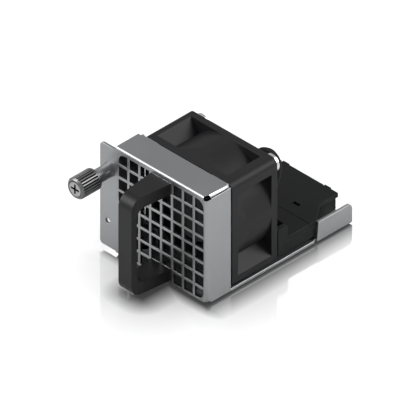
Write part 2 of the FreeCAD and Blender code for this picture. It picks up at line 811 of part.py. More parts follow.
# Spring that loads the front bearing, and the clip on the shaft's end behind the rear one
node("bearing_spring", ring(
    "bearing_spring", "shaft_round + spring_ring_wide", "shaft_round", f"{yoke_front} + yoke_wall",
    f"{tube_front} - stop_gap", "0", FAN_UP,
))
node("shaft_clip", ring(
    "shaft_clip", "shaft_round + clip_wide", "shaft_round", f"{bearing_end} + stop_gap",
    f"{bearing_end} + stop_gap + clip_thick", "0", FAN_UP,
))

# Stator: laminated core with poles on the bearing tube, its coils, and the motor board
core_mid = f"({magnet_rear} - magnet_long / 2)"
core_low = f"({core_mid} - core_long / 2)"
core_high = f"({core_mid} + core_long / 2)"
pole_end = "(core_round - core_rim / 2)"
pole_half = "(core_pole_wide / 2)"
core = joined(
    "core_with_poles",
    rod("core_body_rod", "core_body", core_low, core_high, "0", FAN_UP),
    box("core_pole_across", (f"-{pole_end}", core_low, f"{FAN_UP} - {pole_half}"),
        (pole_end, core_high, f"{FAN_UP} + {pole_half}")),
    box("core_pole_up", (f"-{pole_half}", core_low, f"{FAN_UP} - {pole_end}"),
        (pole_half, core_high, f"{FAN_UP} + {pole_end}")),
    ring("core_rim_ring", "core_round", "core_round - core_rim", core_low, core_high, "0", FAN_UP),
)
rim_gaps = []
for i in range(4):
    gap = doc.addObject("Part::Box", f"rim_gap_{i}")
    gap.setExpression("Length", formula("core_rim * 3"))
    gap.setExpression("Width", formula("core_long"))
    gap.setExpression("Height", formula("core_slot"))
    turn = FreeCAD.Rotation(FreeCAD.Vector(0, 1, 0), 45 + i * 90)
    start = turn.multVec(place("core_round - core_rim * 2", "0", "-core_slot / 2"))
    gap.Placement = FreeCAD.Placement(start + place("0", core_low, FAN_UP), turn)
    rim_gaps.append(gap)
node("stator_core", less(
    "stator_core",
    core,
    rod("core_bore", tube_round, core_low, core_high, "0", FAN_UP),
    *rim_gaps,
))
coils = []
coil_low = f"({core_mid} - coil_long / 2)"
coil_high = f"({core_mid} + coil_long / 2)"
coil_half = "(coil_wide / 2)"
near = "(core_body + coil_gap)"
far = "(core_round - core_rim - coil_rim_gap)"
for i, (start, end) in enumerate(((near, far), (f"(-{far})", f"(-{near})"))):
    across = box(f"coil_across_{i}", (start, coil_low, f"{FAN_UP} - {coil_half}"),
                 (end, coil_high, f"{FAN_UP} + {coil_half}"))
    across_hole = box(f"coil_across_hole_{i}", (start, core_low, f"{FAN_UP} - {pole_half}"),
                      (end, core_high, f"{FAN_UP} + {pole_half}"))
    upright = box(f"coil_up_{i}", (f"-{coil_half}", coil_low, f"{FAN_UP} + {start}"),
                  (coil_half, coil_high, f"{FAN_UP} + {end}"))
    upright_hole = box(f"coil_up_hole_{i}", (f"-{pole_half}", core_low, f"{FAN_UP} + {start}"),
                       (pole_half, core_high, f"{FAN_UP} + {end}"))
    coils.append(less(f"coil_turns_across_{i}", across, across_hole))
    coils.append(less(f"coil_turns_up_{i}", upright, upright_hole))
coil_set = doc.addObject("Part::Compound", "coil_set")
coil_set.Links = coils
node("stator_windings", coil_set)
node("motor_board", ring(
    "motor_board", "board_round", tube_round, f"{base_front} - board_thick", base_front, "0", FAN_UP,
))

# Pull handle: moulded U that narrows from its feet to its front bar
handle_front = f"({FRONT} - handle_reach)"
bar_back = f"({handle_front} + handle_bar)"
handle = new_body("handle_body")
slab(handle, "YZ", "-handle_foot_wide / 2", "handle_foot_wide / 2", [[
    (handle_front, "handle_low"),
    (FRONT, "handle_low"),
    (FRONT, "handle_low + handle_arm"),
    (bar_back, "handle_low + handle_arm"),
    (bar_back, "handle_high - handle_arm"),
    (FRONT, "handle_high - handle_arm"),
    (FRONT, "handle_high"),
    (handle_front, "handle_high"),
]])
round_edges(handle, "handle_inner_round", [
    place("0", bar_back, "handle_low + handle_arm"),
    place("0", bar_back, "handle_high - handle_arm"),
])
round_edges(handle, "handle_round", [
    place("0", handle_front, "handle_low"),
    place("0", handle_front, "handle_high"),
])
slab(handle, "XY", f"handle_low - {BEYOND}", f"handle_high + {BEYOND}", [
    [
        (f"{side} * handle_foot_wide / 2", FRONT),
        (f"{side} * handle_front_wide / 2", bar_back),
        (f"{side} * handle_front_wide / 2", f"{handle_front} - {BEYOND}"),
        (f"{side} * (handle_foot_wide / 2 + {BEYOND})", f"{handle_front} - {BEYOND}"),
        (f"{side} * (handle_foot_wide / 2 + {BEYOND})", FRONT),
    ]
    for side in ("1", "-1")
], cuts=True)
slab(handle, "XZ", f"{FRONT} - insert_long", FRONT, circles=[
    ("0", HANDLE_ARMS[0], "insert_round"),
    ("0", HANDLE_ARMS[1], "insert_round"),
], cuts=True)
node("pull_handle", handle)

# Threaded inserts in the handle's feet, and the screws that hold it from behind the panel
inserts = []
handle_screws = []
for i, arm_up in enumerate(HANDLE_ARMS):
    insert_end = f"{FRONT} - insert_long"
    inserts.append(ring(f"insert_{i}", "insert_round", "screw_round", insert_end, FRONT, "0", arm_up))
    handle_screws.append(joined(
        f"handle_screw_{i}",
        rod(f"handle_screw_shank_{i}", "screw_round", insert_end, PANEL_BACK, "0", arm_up),
        rod(f"handle_screw_head_{i}", "handle_screw_head",
            PANEL_BACK, f"{PANEL_BACK} + handle_screw_head_thick", "0", arm_up),
    ))
insert_set = doc.addObject("Part::Compound", "insert_set")
insert_set.Links = inserts
node("handle_inserts", insert_set)
handle_screw_set = doc.addObject("Part::Compound", "handle_screw_set")
handle_screw_set.Links = handle_screws
node("handle_screws", handle_screw_set)

# Captive thumbscrew: sleeve in the ear, fluted knob with its screw, washer and spring
knob_rear = f"({FRONT} - knob_rest_gap)"
knob_front = f"({knob_rear} - knob_long)"
sleeve_front = f"({knob_rear} - sleeve_inside)"
bore_end = f"({sleeve_front} - thumb_travel - thumb_washer - stop_gap)"
node("thumbscrew_sleeve", turned("thumbscrew_sleeve", [
    ("sleeve_neck", PANEL_BACK),
    ("nut_seat_round", PANEL_BACK),
    ("nut_seat_round", FRONT),
    ("sleeve_base_round", FRONT),
    ("sleeve_base_round", f"{FRONT} - sleeve_base_thick"),
    ("sleeve_round", f"{FRONT} - sleeve_base_thick"),
    ("sleeve_round", sleeve_front),
    ("sleeve_bore", sleeve_front),
    ("sleeve_bore", f"{FRONT} - sleeve_lip"),
    ("sleeve_neck", f"{FRONT} - sleeve_lip"),
], x=THUMB_X, z="thumb_up"))
seat = f"({knob_front} + captive_head_thick)"
knob = turned("knob_body", [
    ("screw_round", seat),
    ("captive_head_round + captive_head_gap", seat),
    ("captive_head_round + captive_head_gap", knob_front),
    ("knob_round - knob_chamfer", knob_front),
    ("knob_round", f"{knob_front} + knob_chamfer"),
    ("knob_round", f"{knob_rear} - knob_rear_chamfer"),
    ("knob_round - knob_rear_chamfer", knob_rear),
    ("knob_bore", knob_rear),
    ("knob_bore", bore_end),
    ("screw_round", bore_end),
], x=THUMB_X, z="thumb_up")
flute = slab(knob, "XZ", knob_front, f"{knob_rear} - knob_collar", circles=[
    ("knob_round", "0", "knob_flute_round"),
], cuts=True)
flutes = knob.newObject("PartDesign::PolarPattern", "knob_flutes_around")
flutes.Originals = [flute]
flutes.Axis = (flute.Profile[0], ["N_Axis"])
flutes.Angle = 360
flutes.setExpression("Occurrences", formula("knob_flutes"))
knob.Tip = flutes
node("thumbscrew_knob", knob)
arm = "(captive_slot_long / 2)"
edge = "(captive_slot_wide / 2)"
node("thumbscrew_screw", less(
    "captive_screw",
    joined(
        "captive_blank",
        rod("captive_shank", "screw_round", knob_front, f"{PANEL_BACK} - sheet / 2", THUMB_X, "thumb_up"),
        rod("captive_head", "captive_head_round", knob_front, seat, THUMB_X, "thumb_up"),
    ),
    box(
        "captive_cross",
        (f"{THUMB_X} - {arm}", f"{knob_front} - {BEYOND}", f"thumb_up - {edge}"),
        (f"{THUMB_X} + {arm}", f"{knob_front} + screw_slot_deep", f"thumb_up + {edge}"),
    ),
    box(
        "captive_cross_up",
        (f"{THUMB_X} - {edge}", f"{knob_front} - {BEYOND}", f"thumb_up - {arm}"),
        (f"{THUMB_X} + {edge}", f"{knob_front} + screw_slot_deep", f"thumb_up + {arm}"),
    ),
))
washer_rear = f"({bore_end} + thumb_washer)"
node("thumbscrew_washer", ring(
    "thumbscrew_washer", "sleeve_bore", "screw_round + shaft_play", bore_end, washer_rear,
    THUMB_X, "thumb_up",
))


def spring_shape():
    """Wire with flats, wound between the washer and the sleeve's lip."""
    wire = value("spring_wire")
    low = value(washer_rear) + wire
    high = value(f"{FRONT} - sleeve_lip") - wire
    mean = value("(screw_round + sleeve_bore) / 2")
    turns = value("spring_turns")
    helix = Part.makeHelix((high - low) / turns, high - low, mean)
    flats = int(value("spring_flats"))
    corners = [
        FreeCAD.Vector(mean + wire * math.cos(turn), 0, wire * math.sin(turn))
        for turn in ((i + 0.5) * 2 * math.pi / flats for i in range(flats))
    ]
    section = Part.Wire(Part.makePolygon(corners + corners[:1]))
    coil = Part.Wire(helix.Edges).makePipeShell([section], True, True)
    coil.rotate(FreeCAD.Vector(0, 0, 0), FreeCAD.Vector(1, 0, 0), -90)
    coil.translate(FreeCAD.Vector(value(THUMB_X), low, value("thumb_up")))
    return coil


node("thumbscrew_spring", shaped("thumbscrew_spring", spring_shape()))

# Rear housing: a tub on the tray floor under a lead cover and a plug cover
deck_low = "(housing_high - deck_thick)"
half = "(fan_wide / 2)"
tail = "(housing_tail_wide / 2)"
inset = "housing_inset"
wall = "housing_wall"
house_front = f"({FAN_REAR} + housing_gap)"
end_y = f"({REAR} + plug_overhang)"
tail_y = f"({end_y} - tail_long)"
waist_y = f"({REAR_FLANGE} - waist_gap)"
split_y = f"({waist_y} - split_ahead)"
tub_front = f"({FAN_REAR} + screw_head_thick + {wall})"
tub_end = f"({end_y} - housing_end_inset)"
head_pockets = [
    (f"{side} * {HOLE_OFF}", f"{FAN_UP} - {HOLE_OFF}", "screw_head_round + head_clear")
    for side in ("1", "-1")
]
pocket_end = f"{FAN_REAR} + screw_head_thick + head_clear"

tub = new_body("tub_body")
slab(tub, "XY", "sheet", deck_low, [[
    (f"-{half}", house_front),
    (half, house_front),
    (half, f"{waist_y} - {inset} / 2"),
    (f"{tail} - {inset}", f"{tail_y} - {inset} / 2"),
    (f"{tail} - {inset}", tub_end),
    (f"-{tail} + {inset}", tub_end),
    (f"-{tail} + {inset}", f"{tail_y} - {inset} / 2"),
    (f"-{half}", f"{waist_y} - {inset} / 2"),
]])
slab(tub, "XY", "sheet + housing_floor", deck_low, [[
    (f"-{half} + {wall}", tub_front),
    (f"{half} - {wall}", tub_front),
    (f"{half} - {wall}", f"{waist_y} - {inset} / 2 - {wall} / 2"),
    (f"{tail} - {inset} - {wall}", f"{tail_y} - {inset} / 2 - {wall} / 2"),
    (f"{tail} - {inset} - {wall}", f"{end_y} + {BEYOND}"),
    (f"-{tail} + {inset} + {wall}", f"{end_y} + {BEYOND}"),
    (f"-{tail} + {inset} + {wall}", f"{tail_y} - {inset} / 2 - {wall} / 2"),
    (f"-{half} + {wall}", f"{waist_y} - {inset} / 2 - {wall} / 2"),
]], cuts=True)
slab(tub, "XY", "sheet + housing_floor / 2", "sheet + housing_floor + board_gap", circles=[
    (f"{side} * ({tail} - {inset} - {wall} - boss_round)", along, "boss_round")
    for side in ("1", "-1")
    for along in (f"{tub_front} + boss_round * 2", tail_y)
])
slab(tub, "XY", "sheet", "sheet + foot_high", [
    rectangle(inner, f"{house_front} - {BEYOND}", outer, f"{waist_y} + {BEYOND}")
    for inner, outer in (
        (f"{half} - foot_in", f"{half} + {BEYOND}"),
        (f"-{half} - {BEYOND}", f"foot_in - {half}"),
    )
], cuts=True)
slab(tub, "XZ", FAN_REAR, pocket_end, circles=head_pockets, cuts=True)
node("housing_base", tub)

lead_cover = new_body("lead_cover_body")
slab(lead_cover, "XY", deck_low, "housing_high", [
    rectangle(f"-{half}", house_front, half, f"{split_y} - cover_seam"),
])
slab(lead_cover, "XY", "housing_high", "rib_high", [
    rectangle(f"{half} - rib_wide", house_front, half, f"{FAN_REAR} + rib_long"),
])
lead_hole_end = f"{FAN_REAR} + lead_hole_long"
slab(lead_cover, "XY", deck_low, "housing_high", [
    rectangle("-lead_hole_left", f"{house_front} - {BEYOND}", "lead_hole_right", lead_hole_end),
], cuts=True)
slab(lead_cover, "XZ", FAN_REAR, pocket_end, circles=head_pockets, cuts=True)
round_edges(lead_cover, "rib_round", [place(f"{half} - rib_wide / 2", f"{FAN_REAR} + rib_long", "rib_high")])
round_edges(lead_cover, "cover_round", [
    place(half, f"{split_y} - rib_long", "housing_high"),
    place(f"-{half}", f"{split_y} - rib_long", "housing_high"),
])
node("lead_cover", lead_cover)

plug_cover = new_body("plug_cover_body")
slab(plug_cover, "XY", deck_low, "housing_high", [[
    (f"-{half}", split_y),
    (half, split_y),
    (half, waist_y),
    (tail, tail_y),
    (tail, end_y),
    (f"-{tail}", end_y),
    (f"-{tail}", tail_y),
    (f"-{half}", waist_y),
]])
round_edges(plug_cover, "cover_round", [
    place(f"{side} * {across}", along, "housing_high")
    for side in ("1", "-1")
    for across, along in (
        (half, f"({split_y} + {waist_y}) / 2"),
        (f"({half} + {tail}) / 2", f"({waist_y} + {tail_y}) / 2"),
        (tail, f"({tail_y} + {end_y}) / 2"),
        ("0", end_y),
    )
])
latch_tabs = ("latch_tab_right", "(-latch_tab_left)")
notch_start = f"{end_y} - latch_notch_deep"
tab_half = "latch_tab_wide / 2"
slab(plug_cover, "XY", deck_low, "housing_high", [
    rectangle(f"{at} - {tab_half}", notch_start, f"{at} + {tab_half}", f"{end_y} + latch_tab_out")
    for at in latch_tabs
])
slab(plug_cover, "XY", deck_low, "housing_high", [
    rectangle(left, notch_start, f"{left} + latch_notch_wide", f"{end_y} + {BEYOND}")
    for at in latch_tabs
    for left in (f"{at} - {tab_half} - latch_notch_wide", f"{at} + {tab_half}")
], cuts=True)
slot_left = "(latch_slot_at - latch_slot_long / 2)"
slot_y = f"({split_y} + latch_slot_back)"
slab(plug_cover, "XY", deck_low, "housing_high", [[
    (slot_left, f"{slot_y} - latch_hook_long"),
    (f"{slot_left} + latch_hook_wide", f"{slot_y} - latch_hook_long"),
    (f"{slot_left} + latch_hook_wide", slot_y),
    ("latch_slot_at + latch_slot_long / 2", slot_y),
    ("latch_slot_at + latch_slot_long / 2", f"{slot_y} + latch_slot_wide"),
    (slot_left, f"{slot_y} + latch_slot_wide"),
]], cuts=True)
node("plug_cover", plug_cover)

# Board inside the housing, the blind plug at the rear and its contacts
board_low = "(sheet + housing_floor + board_gap)"
board_high = f"({board_low} + pcb_thick)"
board_side = f"({tail} - {inset} - {wall} - pcb_edge_gap)"
socket_front = f"({end_y} - socket_long)"
socket_rear = f"({end_y} - {inset})"
node("interface_board", box(
    "interface_board",
    (f"-{board_side}", f"{tub_front} + pcb_edge_gap", board_low),
    (board_side, f"{socket_rear} - pcb_end_gap", board_high),
))
socket_high = f"({deck_low} - socket_top_gap)"
slot_low = f"(({board_high} + {socket_high} - socket_slot) / 2)"
node("backplane_connector", less(
    "backplane_connector",
    box("socket_block", ("-socket_wide / 2", socket_front, board_high),
        ("socket_wide / 2", socket_rear, socket_high)),
    box(
        "socket_slot_cut",
        ("socket_wall - socket_wide / 2", f"{socket_front} + socket_back", slot_low),
        ("socket_wide / 2 - socket_wall", f"{socket_rear} + {BEYOND}", f"{slot_low} + socket_slot"),
    ),
))
contacts = []
for i in range(int(value("contact_count"))):
    at = f"(({i} - (contact_count - 1) / 2) * contact_step)"
    contacts.append(box(
        f"contact_{i}",
        (f"{at} - contact_wide / 2", f"{socket_front} + socket_back", slot_low),
        (f"{at} + contact_wide / 2", f"{socket_rear} - contact_inset", f"{slot_low} + contact_thick"),
    ))
contact_set = doc.addObject("Part::Compound", "contact_set")
contact_set.Links = contacts
node("connector_contacts", contact_set)

# Lead plug in its header on the board, and the sleeved lead from the motor
plug_y = f"({tub_front} + pcb_edge_gap + plug_long / 2)"
header_high = f"({board_high} + header_tall)"
plug_high = f"({header_high} + plug_tall)"
node("lead_header", box(
    "lead_header",
    ("plug_at - plug_wide / 2", f"{plug_y} - plug_long / 2", board_high),
    ("plug_at + plug_wide / 2", f"{plug_y} + plug_long / 2", header_high),
))
node("lead_plug", box(
    "lead_plug",
    ("plug_at - plug_wide / 2 + plug_margin", f"{plug_y} - plug_long / 2 + plug_margin", header_high),
    ("plug_at + plug_wide / 2 - plug_margin", f"{plug_y} + plug_long / 2 - plug_margin", plug_high),
))


def lead_shape(points, radius):
    """Round lead along straight runs joined by arcs as large as the runs allow."""
    edges = []
    last = points[0]
    for i in range(1, len(points) - 1):
        before = points[i] - points[i - 1]
        after = points[i + 1] - points[i]
        turn = before.getAngle(after)
        reach = 0.45 * min(before.Length, after.Length)
        bend = reach / math.tan(turn / 2)
        enter = points[i] - before.normalize() * reach
        leave = points[i] + after.normalize() * reach
        inward = (after - before).normalize()
        middle = points[i] + inward * (bend / math.cos(turn / 2) - bend)
        edges.append(Part.LineSegment(last, enter).toShape())
        edges.append(Part.Arc(enter, middle, leave).toShape())
        last = leave
    edges.append(Part.LineSegment(last, points[-1]).toShape())
    start = (points[1] - points[0]).normalize()
    section = Part.Wire(Part.makeCircle(radius, points[0], start))
    return Part.Wire(edges).makePipeShell([section], True, False)


lead_points.append(place("plug_at", plug_y, "lead_turn_up"))
lead_points.append(place("plug_at", plug_y, plug_high))
node("fan_leads", shaped("fan_leads", lead_shape(lead_points, value("lead_round"))))

# Every object must have worked before any file is written
doc.recompute()
for item in doc.Objects:
    if "Invalid" in item.State or "Error" in item.State:
        raise RuntimeError(f"{item.Name} failed: {item.State}")
os.makedirs("parts", exist_ok=True)
for item in nodes:
    shape = item.Shape
    if shape.isNull() or not shape.isValid() or not shape.Solids:
        raise RuntimeError(f"{item.Label} has no valid solid")
    shape.exportStep(f"parts/{item.Label}.step")
    print(f"{item.Label}: {len(shape.Solids)} solid(s), {shape.Volume:.1f} mm3")
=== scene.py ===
"""Looks of the hot-swappable fan module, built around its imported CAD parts."""
import json
import math

import bpy
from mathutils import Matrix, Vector

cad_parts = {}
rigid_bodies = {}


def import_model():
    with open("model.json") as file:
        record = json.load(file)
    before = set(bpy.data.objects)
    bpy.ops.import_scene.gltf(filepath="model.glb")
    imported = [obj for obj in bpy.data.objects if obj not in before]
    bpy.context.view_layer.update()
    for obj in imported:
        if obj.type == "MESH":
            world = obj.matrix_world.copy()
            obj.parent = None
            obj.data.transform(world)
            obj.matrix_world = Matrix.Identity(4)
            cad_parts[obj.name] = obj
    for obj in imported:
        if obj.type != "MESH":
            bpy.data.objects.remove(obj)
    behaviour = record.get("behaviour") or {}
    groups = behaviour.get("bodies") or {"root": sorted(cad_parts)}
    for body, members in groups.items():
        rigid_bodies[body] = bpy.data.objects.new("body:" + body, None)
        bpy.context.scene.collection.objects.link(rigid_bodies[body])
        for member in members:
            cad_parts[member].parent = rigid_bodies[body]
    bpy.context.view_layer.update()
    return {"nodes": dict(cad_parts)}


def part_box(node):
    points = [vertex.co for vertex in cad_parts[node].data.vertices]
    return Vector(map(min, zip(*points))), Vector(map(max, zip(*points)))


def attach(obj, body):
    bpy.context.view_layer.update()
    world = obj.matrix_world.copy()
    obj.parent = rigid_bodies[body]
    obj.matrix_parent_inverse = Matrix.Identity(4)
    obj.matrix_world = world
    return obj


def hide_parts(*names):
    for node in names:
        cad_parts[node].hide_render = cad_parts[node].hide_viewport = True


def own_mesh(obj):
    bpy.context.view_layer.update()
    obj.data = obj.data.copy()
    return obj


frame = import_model()
bpy.ops.object.select_all(action="DESELECT")


# Bent sheet tray: floor, perforated front panel with its ear, top and side flanges, fan tabs and
# two low rear flanges. Cold-rolled steel 1 mm thick, zinc plated, punched flat and folded on a
# press brake, so its bends are rounded, and its cut edges are broken by the deburring drum.
MM = 0.001


def linear(code):
    """Scene colour of an sRGB hex value."""
    parts = [int(code[i:i + 2], 16) / 255 for i in (1, 3, 5)]
    spread = [p / 12.92 if p <= 0.04045 else ((p + 0.055) / 1.055) ** 2.4 for p in parts]
    return (*spread, 1.0)


def start_material(name):
    """New material with no nodes yet."""
    made = bpy.data.materials.new(name)
    made.use_nodes = True
    made.node_tree.nodes.clear()
    return made


def add_node(material, kind, settings=None, links=None):
    """Adds a shader node. Settings go to its properties or inputs, links join outputs to inputs."""
    made = material.node_tree.nodes.new(kind)
    for name, setting in (settings or {}).items():
        if isinstance(name, str) and hasattr(made, name):
            setattr(made, name, setting)
        else:
            made.inputs[name].default_value = setting
    for name, output in (links or {}).items():
        material.node_tree.links.new(output, made.inputs[name])
    return made


def finish_with(material, *names):
    """Gives CAD nodes or pieces, by name, one material."""
    for name in names:
        thing = bpy.data.objects[name]
        thing.data.materials.clear()
        thing.data.materials.append(material)


def broken_edges(node, body, width, held=False):
    """Copy of a CAD node with its sharp edges rounded by a width in mm, which stands for it.

    On a held copy the rounding stays narrower than its shortest edge, so no gap opens behind it.
    """
    same_place = 0.002 * MM
    same_plane = math.radians(0.5)
    smooth_turn = math.radians(28)
    sharp_turn = math.radians(40)
    piece = bpy.data.objects.new(f"{node}_finished", frame["nodes"][node].data.copy())
    bpy.context.scene.collection.objects.link(piece)
    bpy.context.view_layer.objects.active = piece
    piece.select_set(True)
    bpy.ops.object.mode_set(mode="EDIT")
    bpy.ops.mesh.select_all(action="SELECT")
    bpy.ops.mesh.remove_doubles(threshold=same_place)
    bpy.ops.mesh.dissolve_limited(angle_limit=same_plane)
    bpy.ops.object.mode_set(mode="OBJECT")
    bpy.ops.object.shade_smooth_by_angle(angle=smooth_turn)
    bevel = piece.modifiers.new("broken_edge", "BEVEL")
    bevel.width = width * MM
    bevel.segments = 2
    bevel.use_clamp_overlap = held
    bevel.limit_method = "ANGLE"
    bevel.angle_limit = sharp_turn
    bpy.ops.object.modifier_apply(modifier=bevel.name)
    weighted = piece.modifiers.new("flat_faces", "WEIGHTED_NORMAL")
    weighted.keep_sharp = True
    bpy.ops.object.modifier_apply(modifier=weighted.name)
    piece.select_set(False)
    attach(piece, body)
    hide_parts(node)
    return piece


# Zinc plate: a soft grey metal whose crystals scatter the light, so it looks satin, with slow
# clouds from the bath. Its fine grain is drawn 0.4 mm coarse, to show.
zinc_steel = start_material("zinc_plated_steel")
zinc_at = add_node(zinc_steel, "ShaderNodeTexCoord")
zinc_fine = add_node(
    zinc_steel, "ShaderNodeTexNoise",
    {"Scale": 1 / (0.4 * MM), "Detail": 3.0}, {"Vector": zinc_at.outputs["Object"]})
zinc_cloud = add_node(
    zinc_steel, "ShaderNodeTexNoise",
    {"Scale": 1 / (16 * MM), "Detail": 2.0}, {"Vector": zinc_at.outputs["Object"]})
zinc_tone = add_node(
    zinc_steel, "ShaderNodeMix",
    {"data_type": "RGBA", 6: linear("#8A8B8D"), 7: linear("#979899")},
    {0: zinc_cloud.outputs["Fac"]})
zinc_rough = add_node(
    zinc_steel, "ShaderNodeMapRange",
    {"To Min": 0.37, "To Max": 0.45}, {"Value": zinc_fine.outputs["Fac"]})
zinc_bump = add_node(
    zinc_steel, "ShaderNodeBump",
    {"Strength": 0.12, "Distance": 0.01 * MM}, {"Height": zinc_fine.outputs["Fac"]})

# The bend relief at the panel's top right corner is a small notch into the dark inside; a
# near-black patch round it is painted shade
relief_middle = (20.45 * MM, -32.45 * MM, 0.0)
relief_radius = 1.35 * MM
relief_level = 41.64 * MM
relief_reach = 0.62 * MM
relief_flat = add_node(
    zinc_steel, "ShaderNodeVectorMath",
    {"operation": "MULTIPLY", 1: (1.0, 1.0, 0.0)}, {0: zinc_at.outputs["Object"]})
relief_away = add_node(
    zinc_steel, "ShaderNodeVectorMath",
    {"operation": "DISTANCE", 1: relief_middle}, {0: relief_flat.outputs["Vector"]})
relief_round = add_node(
    zinc_steel, "ShaderNodeMath",
    {"operation": "LESS_THAN", 1: relief_radius}, {0: relief_away.outputs["Value"]})
relief_parts = add_node(
    zinc_steel, "ShaderNodeSeparateXYZ", links={"Vector": zinc_at.outputs["Object"]})
relief_band = add_node(
    zinc_steel, "ShaderNodeMath",
    {"operation": "COMPARE", 1: relief_level, 2: relief_reach}, {0: relief_parts.outputs["Z"]})
relief_painted_shade = add_node(
    zinc_steel, "ShaderNodeMath",
    {"operation": "MULTIPLY"}, {0: relief_round.outputs[0], 1: relief_band.outputs[0]})
# Mixes the painted shade, near black, into the zinc's tone round the relief
zinc_and_relief_shade = add_node(
    zinc_steel, "ShaderNodeMix",
    {"data_type": "RGBA", 7: linear("#060606")},
    {0: relief_painted_shade.outputs[0], 6: zinc_tone.outputs[2]})
zinc_surface = add_node(
    zinc_steel, "ShaderNodeBsdfPrincipled", {"Metallic": 1.0},
    {"Base Color": zinc_and_relief_shade.outputs[2], "Roughness": zinc_rough.outputs["Result"],
     "Normal": zinc_bump.outputs["Normal"]})
add_node(zinc_steel, "ShaderNodeOutputMaterial", links={"Surface": zinc_surface.outputs["BSDF"]})
tray = broken_edges("tray", "root", 0.1)
finish_with(zinc_steel, "tray_finished")

# Walls of the punched grille: bare sheared steel, rough and with marks of the punch; their dark
# tone, darker than the plated faces, is partly the bare steel and partly painted shade from the
# dark inside of the box
sheared_steel_painted_shade = start_material("sheared_steel_painted_shade")
sheared_at = add_node(sheared_steel_painted_shade, "ShaderNodeTexCoord")
sheared_marks = add_node(
    sheared_steel_painted_shade, "ShaderNodeTexNoise",
    {"Scale": 1 / (0.15 * MM), "Detail": 2.0}, {"Vector": sheared_at.outputs["Object"]})
# Tone of bare steel, darkened further as painted shade
sheared_tone_painted_shade = add_node(
    sheared_steel_painted_shade, "ShaderNodeMix",
    {"data_type": "RGBA", 6: linear("#3C3C3D"), 7: linear("#4C4C4E")},
    {0: sheared_marks.outputs["Fac"]})
sheared_surface = add_node(
    sheared_steel_painted_shade, "ShaderNodeBsdfPrincipled",
    {"Metallic": 1.0, "Roughness": 0.6}, {"Base Color": sheared_tone_painted_shade.outputs[2]})
add_node(
    sheared_steel_painted_shade, "ShaderNodeOutputMaterial", links={"Surface": sheared_surface.outputs["BSDF"]})
tray.data.materials.append(sheared_steel_painted_shade)
grille_half = 19.3 * MM
grille_low = 1.2 * MM
grille_high = 40.5 * MM
panel_back = -32.5 * MM
wall_lean = 0.3
for face in tray.data.polygons:
    place = face.center
    in_grille = abs(place.x) < grille_half and grille_low < place.z < grille_high
    if in_grille and place.y < panel_back and abs(face.normal.y) < wall_lean:
        face.material_index = 1

# The left and top flanges reach almost to the fan, so their cut edges are drawn out over the gap,
# the left one from the floor to the top, and the top one between its two fan tabs
flange_inside = 19.5 * MM
floor_inside = 0.8 * MM
top_inside = 41.2 * MM
between_tabs = 12.4 * MM
edge_reach = 0.12 * MM
left_end = -22.25 * MM
left_gap = 1.35 * MM
top_end = -22.95 * MM
top_gap = 0.4 * MM
for corner in tray.data.vertices:
    place = corner.co
    on_left = place.x < -flange_inside and floor_inside < place.z < top_inside
    if on_left and abs(place.y - left_end) < edge_reach:
        place.y += left_gap
    on_top = abs(place.x) < between_tabs and place.z > top_inside
    if on_top and abs(place.y - top_end) < edge_reach:
        place.y += top_gap

# The top flange's right edge is rounded by the die, so its broken edge is widened
flange_right = 20.6 * MM
flange_top = 42.3 * MM
die_radius = 0.6 * MM
right_edge = [
    corner for corner in tray.data.vertices
    if math.hypot(corner.co.x - flange_right, corner.co.z - flange_top) < edge_reach]
widen = die_radius / max(flange_right - corner.co.x for corner in right_edge)
for corner in right_edge:
    corner.co.x = flange_right + (corner.co.x - flange_right) * widen
    corner.co.z = flange_top + (corner.co.z - flange_top) * widen

# That edge's faces get a near-white zinc, a painted highlight that spreads over the whole rounding
painted_edge_highlight = start_material("painted_highlight_zinc")
highlight_at = add_node(painted_edge_highlight, "ShaderNodeTexCoord")
highlight_marks = add_node(
    painted_edge_highlight, "ShaderNodeTexNoise",
    {"Scale": 1 / (0.6 * MM), "Detail": 3.0}, {"Vector": highlight_at.outputs["Object"]})
highlight_rough = add_node(
    painted_edge_highlight, "ShaderNodeMapRange",
    {"To Min": 0.40, "To Max": 0.46}, {"Value": highlight_marks.outputs["Fac"]})
highlight_surface = add_node(
    painted_edge_highlight, "ShaderNodeBsdfPrincipled",
    {"Metallic": 1.0, "Base Color": linear("#E4E4E5")},
    {"Roughness": highlight_rough.outputs["Result"]})
add_node(
    painted_edge_highlight, "ShaderNodeOutputMaterial", links={"Surface": highlight_surface.outputs["BSDF"]})
tray.data.materials.append(painted_edge_highlight)
edge_start = (20 * MM, -31 * MM, 41.5 * MM)
edge_lean = 0.15
# Faces on the rounded right edge take the painted highlight
for face in tray.data.polygons:
    past_start = all(here > start for here, start in zip(face.center, edge_start))
    if past_start and min(face.normal.x, face.normal.z) > edge_lean:
        face.material_index = 2


# Nuts pressed into the tabs and the long screws that pull the fan against them, with flat heads.
# Steel, cold headed or turned. The screws are nickel plated in a barrel, bright with fine scuffs.
nickel = start_material("nickel_plated_steel")
nickel_at = add_node(nickel, "ShaderNodeTexCoord")
nickel_scuff = add_node(
    nickel, "ShaderNodeTexNoise",
    {"Scale": 1 / (0.5 * MM), "Detail": 4.0, "Roughness": 0.7},
    {"Vector": nickel_at.outputs["Object"]})
nickel_tone = add_node(
    nickel, "ShaderNodeMix",
    {"data_type": "RGBA", 6: linear("#BFBFBF"), 7: linear("#D6D6D6")},
    {0: nickel_scuff.outputs["Fac"]})
nickel_rough = add_node(
    nickel, "ShaderNodeMapRange",
    {"To Min": 0.16, "To Max": 0.32}, {"Value": nickel_scuff.outputs["Fac"]})
nickel_surface = add_node(
    nickel, "ShaderNodeBsdfPrincipled", {"Metallic": 1.0},
    {"Base Color": nickel_tone.outputs[2], "Roughness": nickel_rough.outputs["Result"]})
add_node(nickel, "ShaderNodeOutputMaterial", links={"Surface": nickel_surface.outputs["BSDF"]})
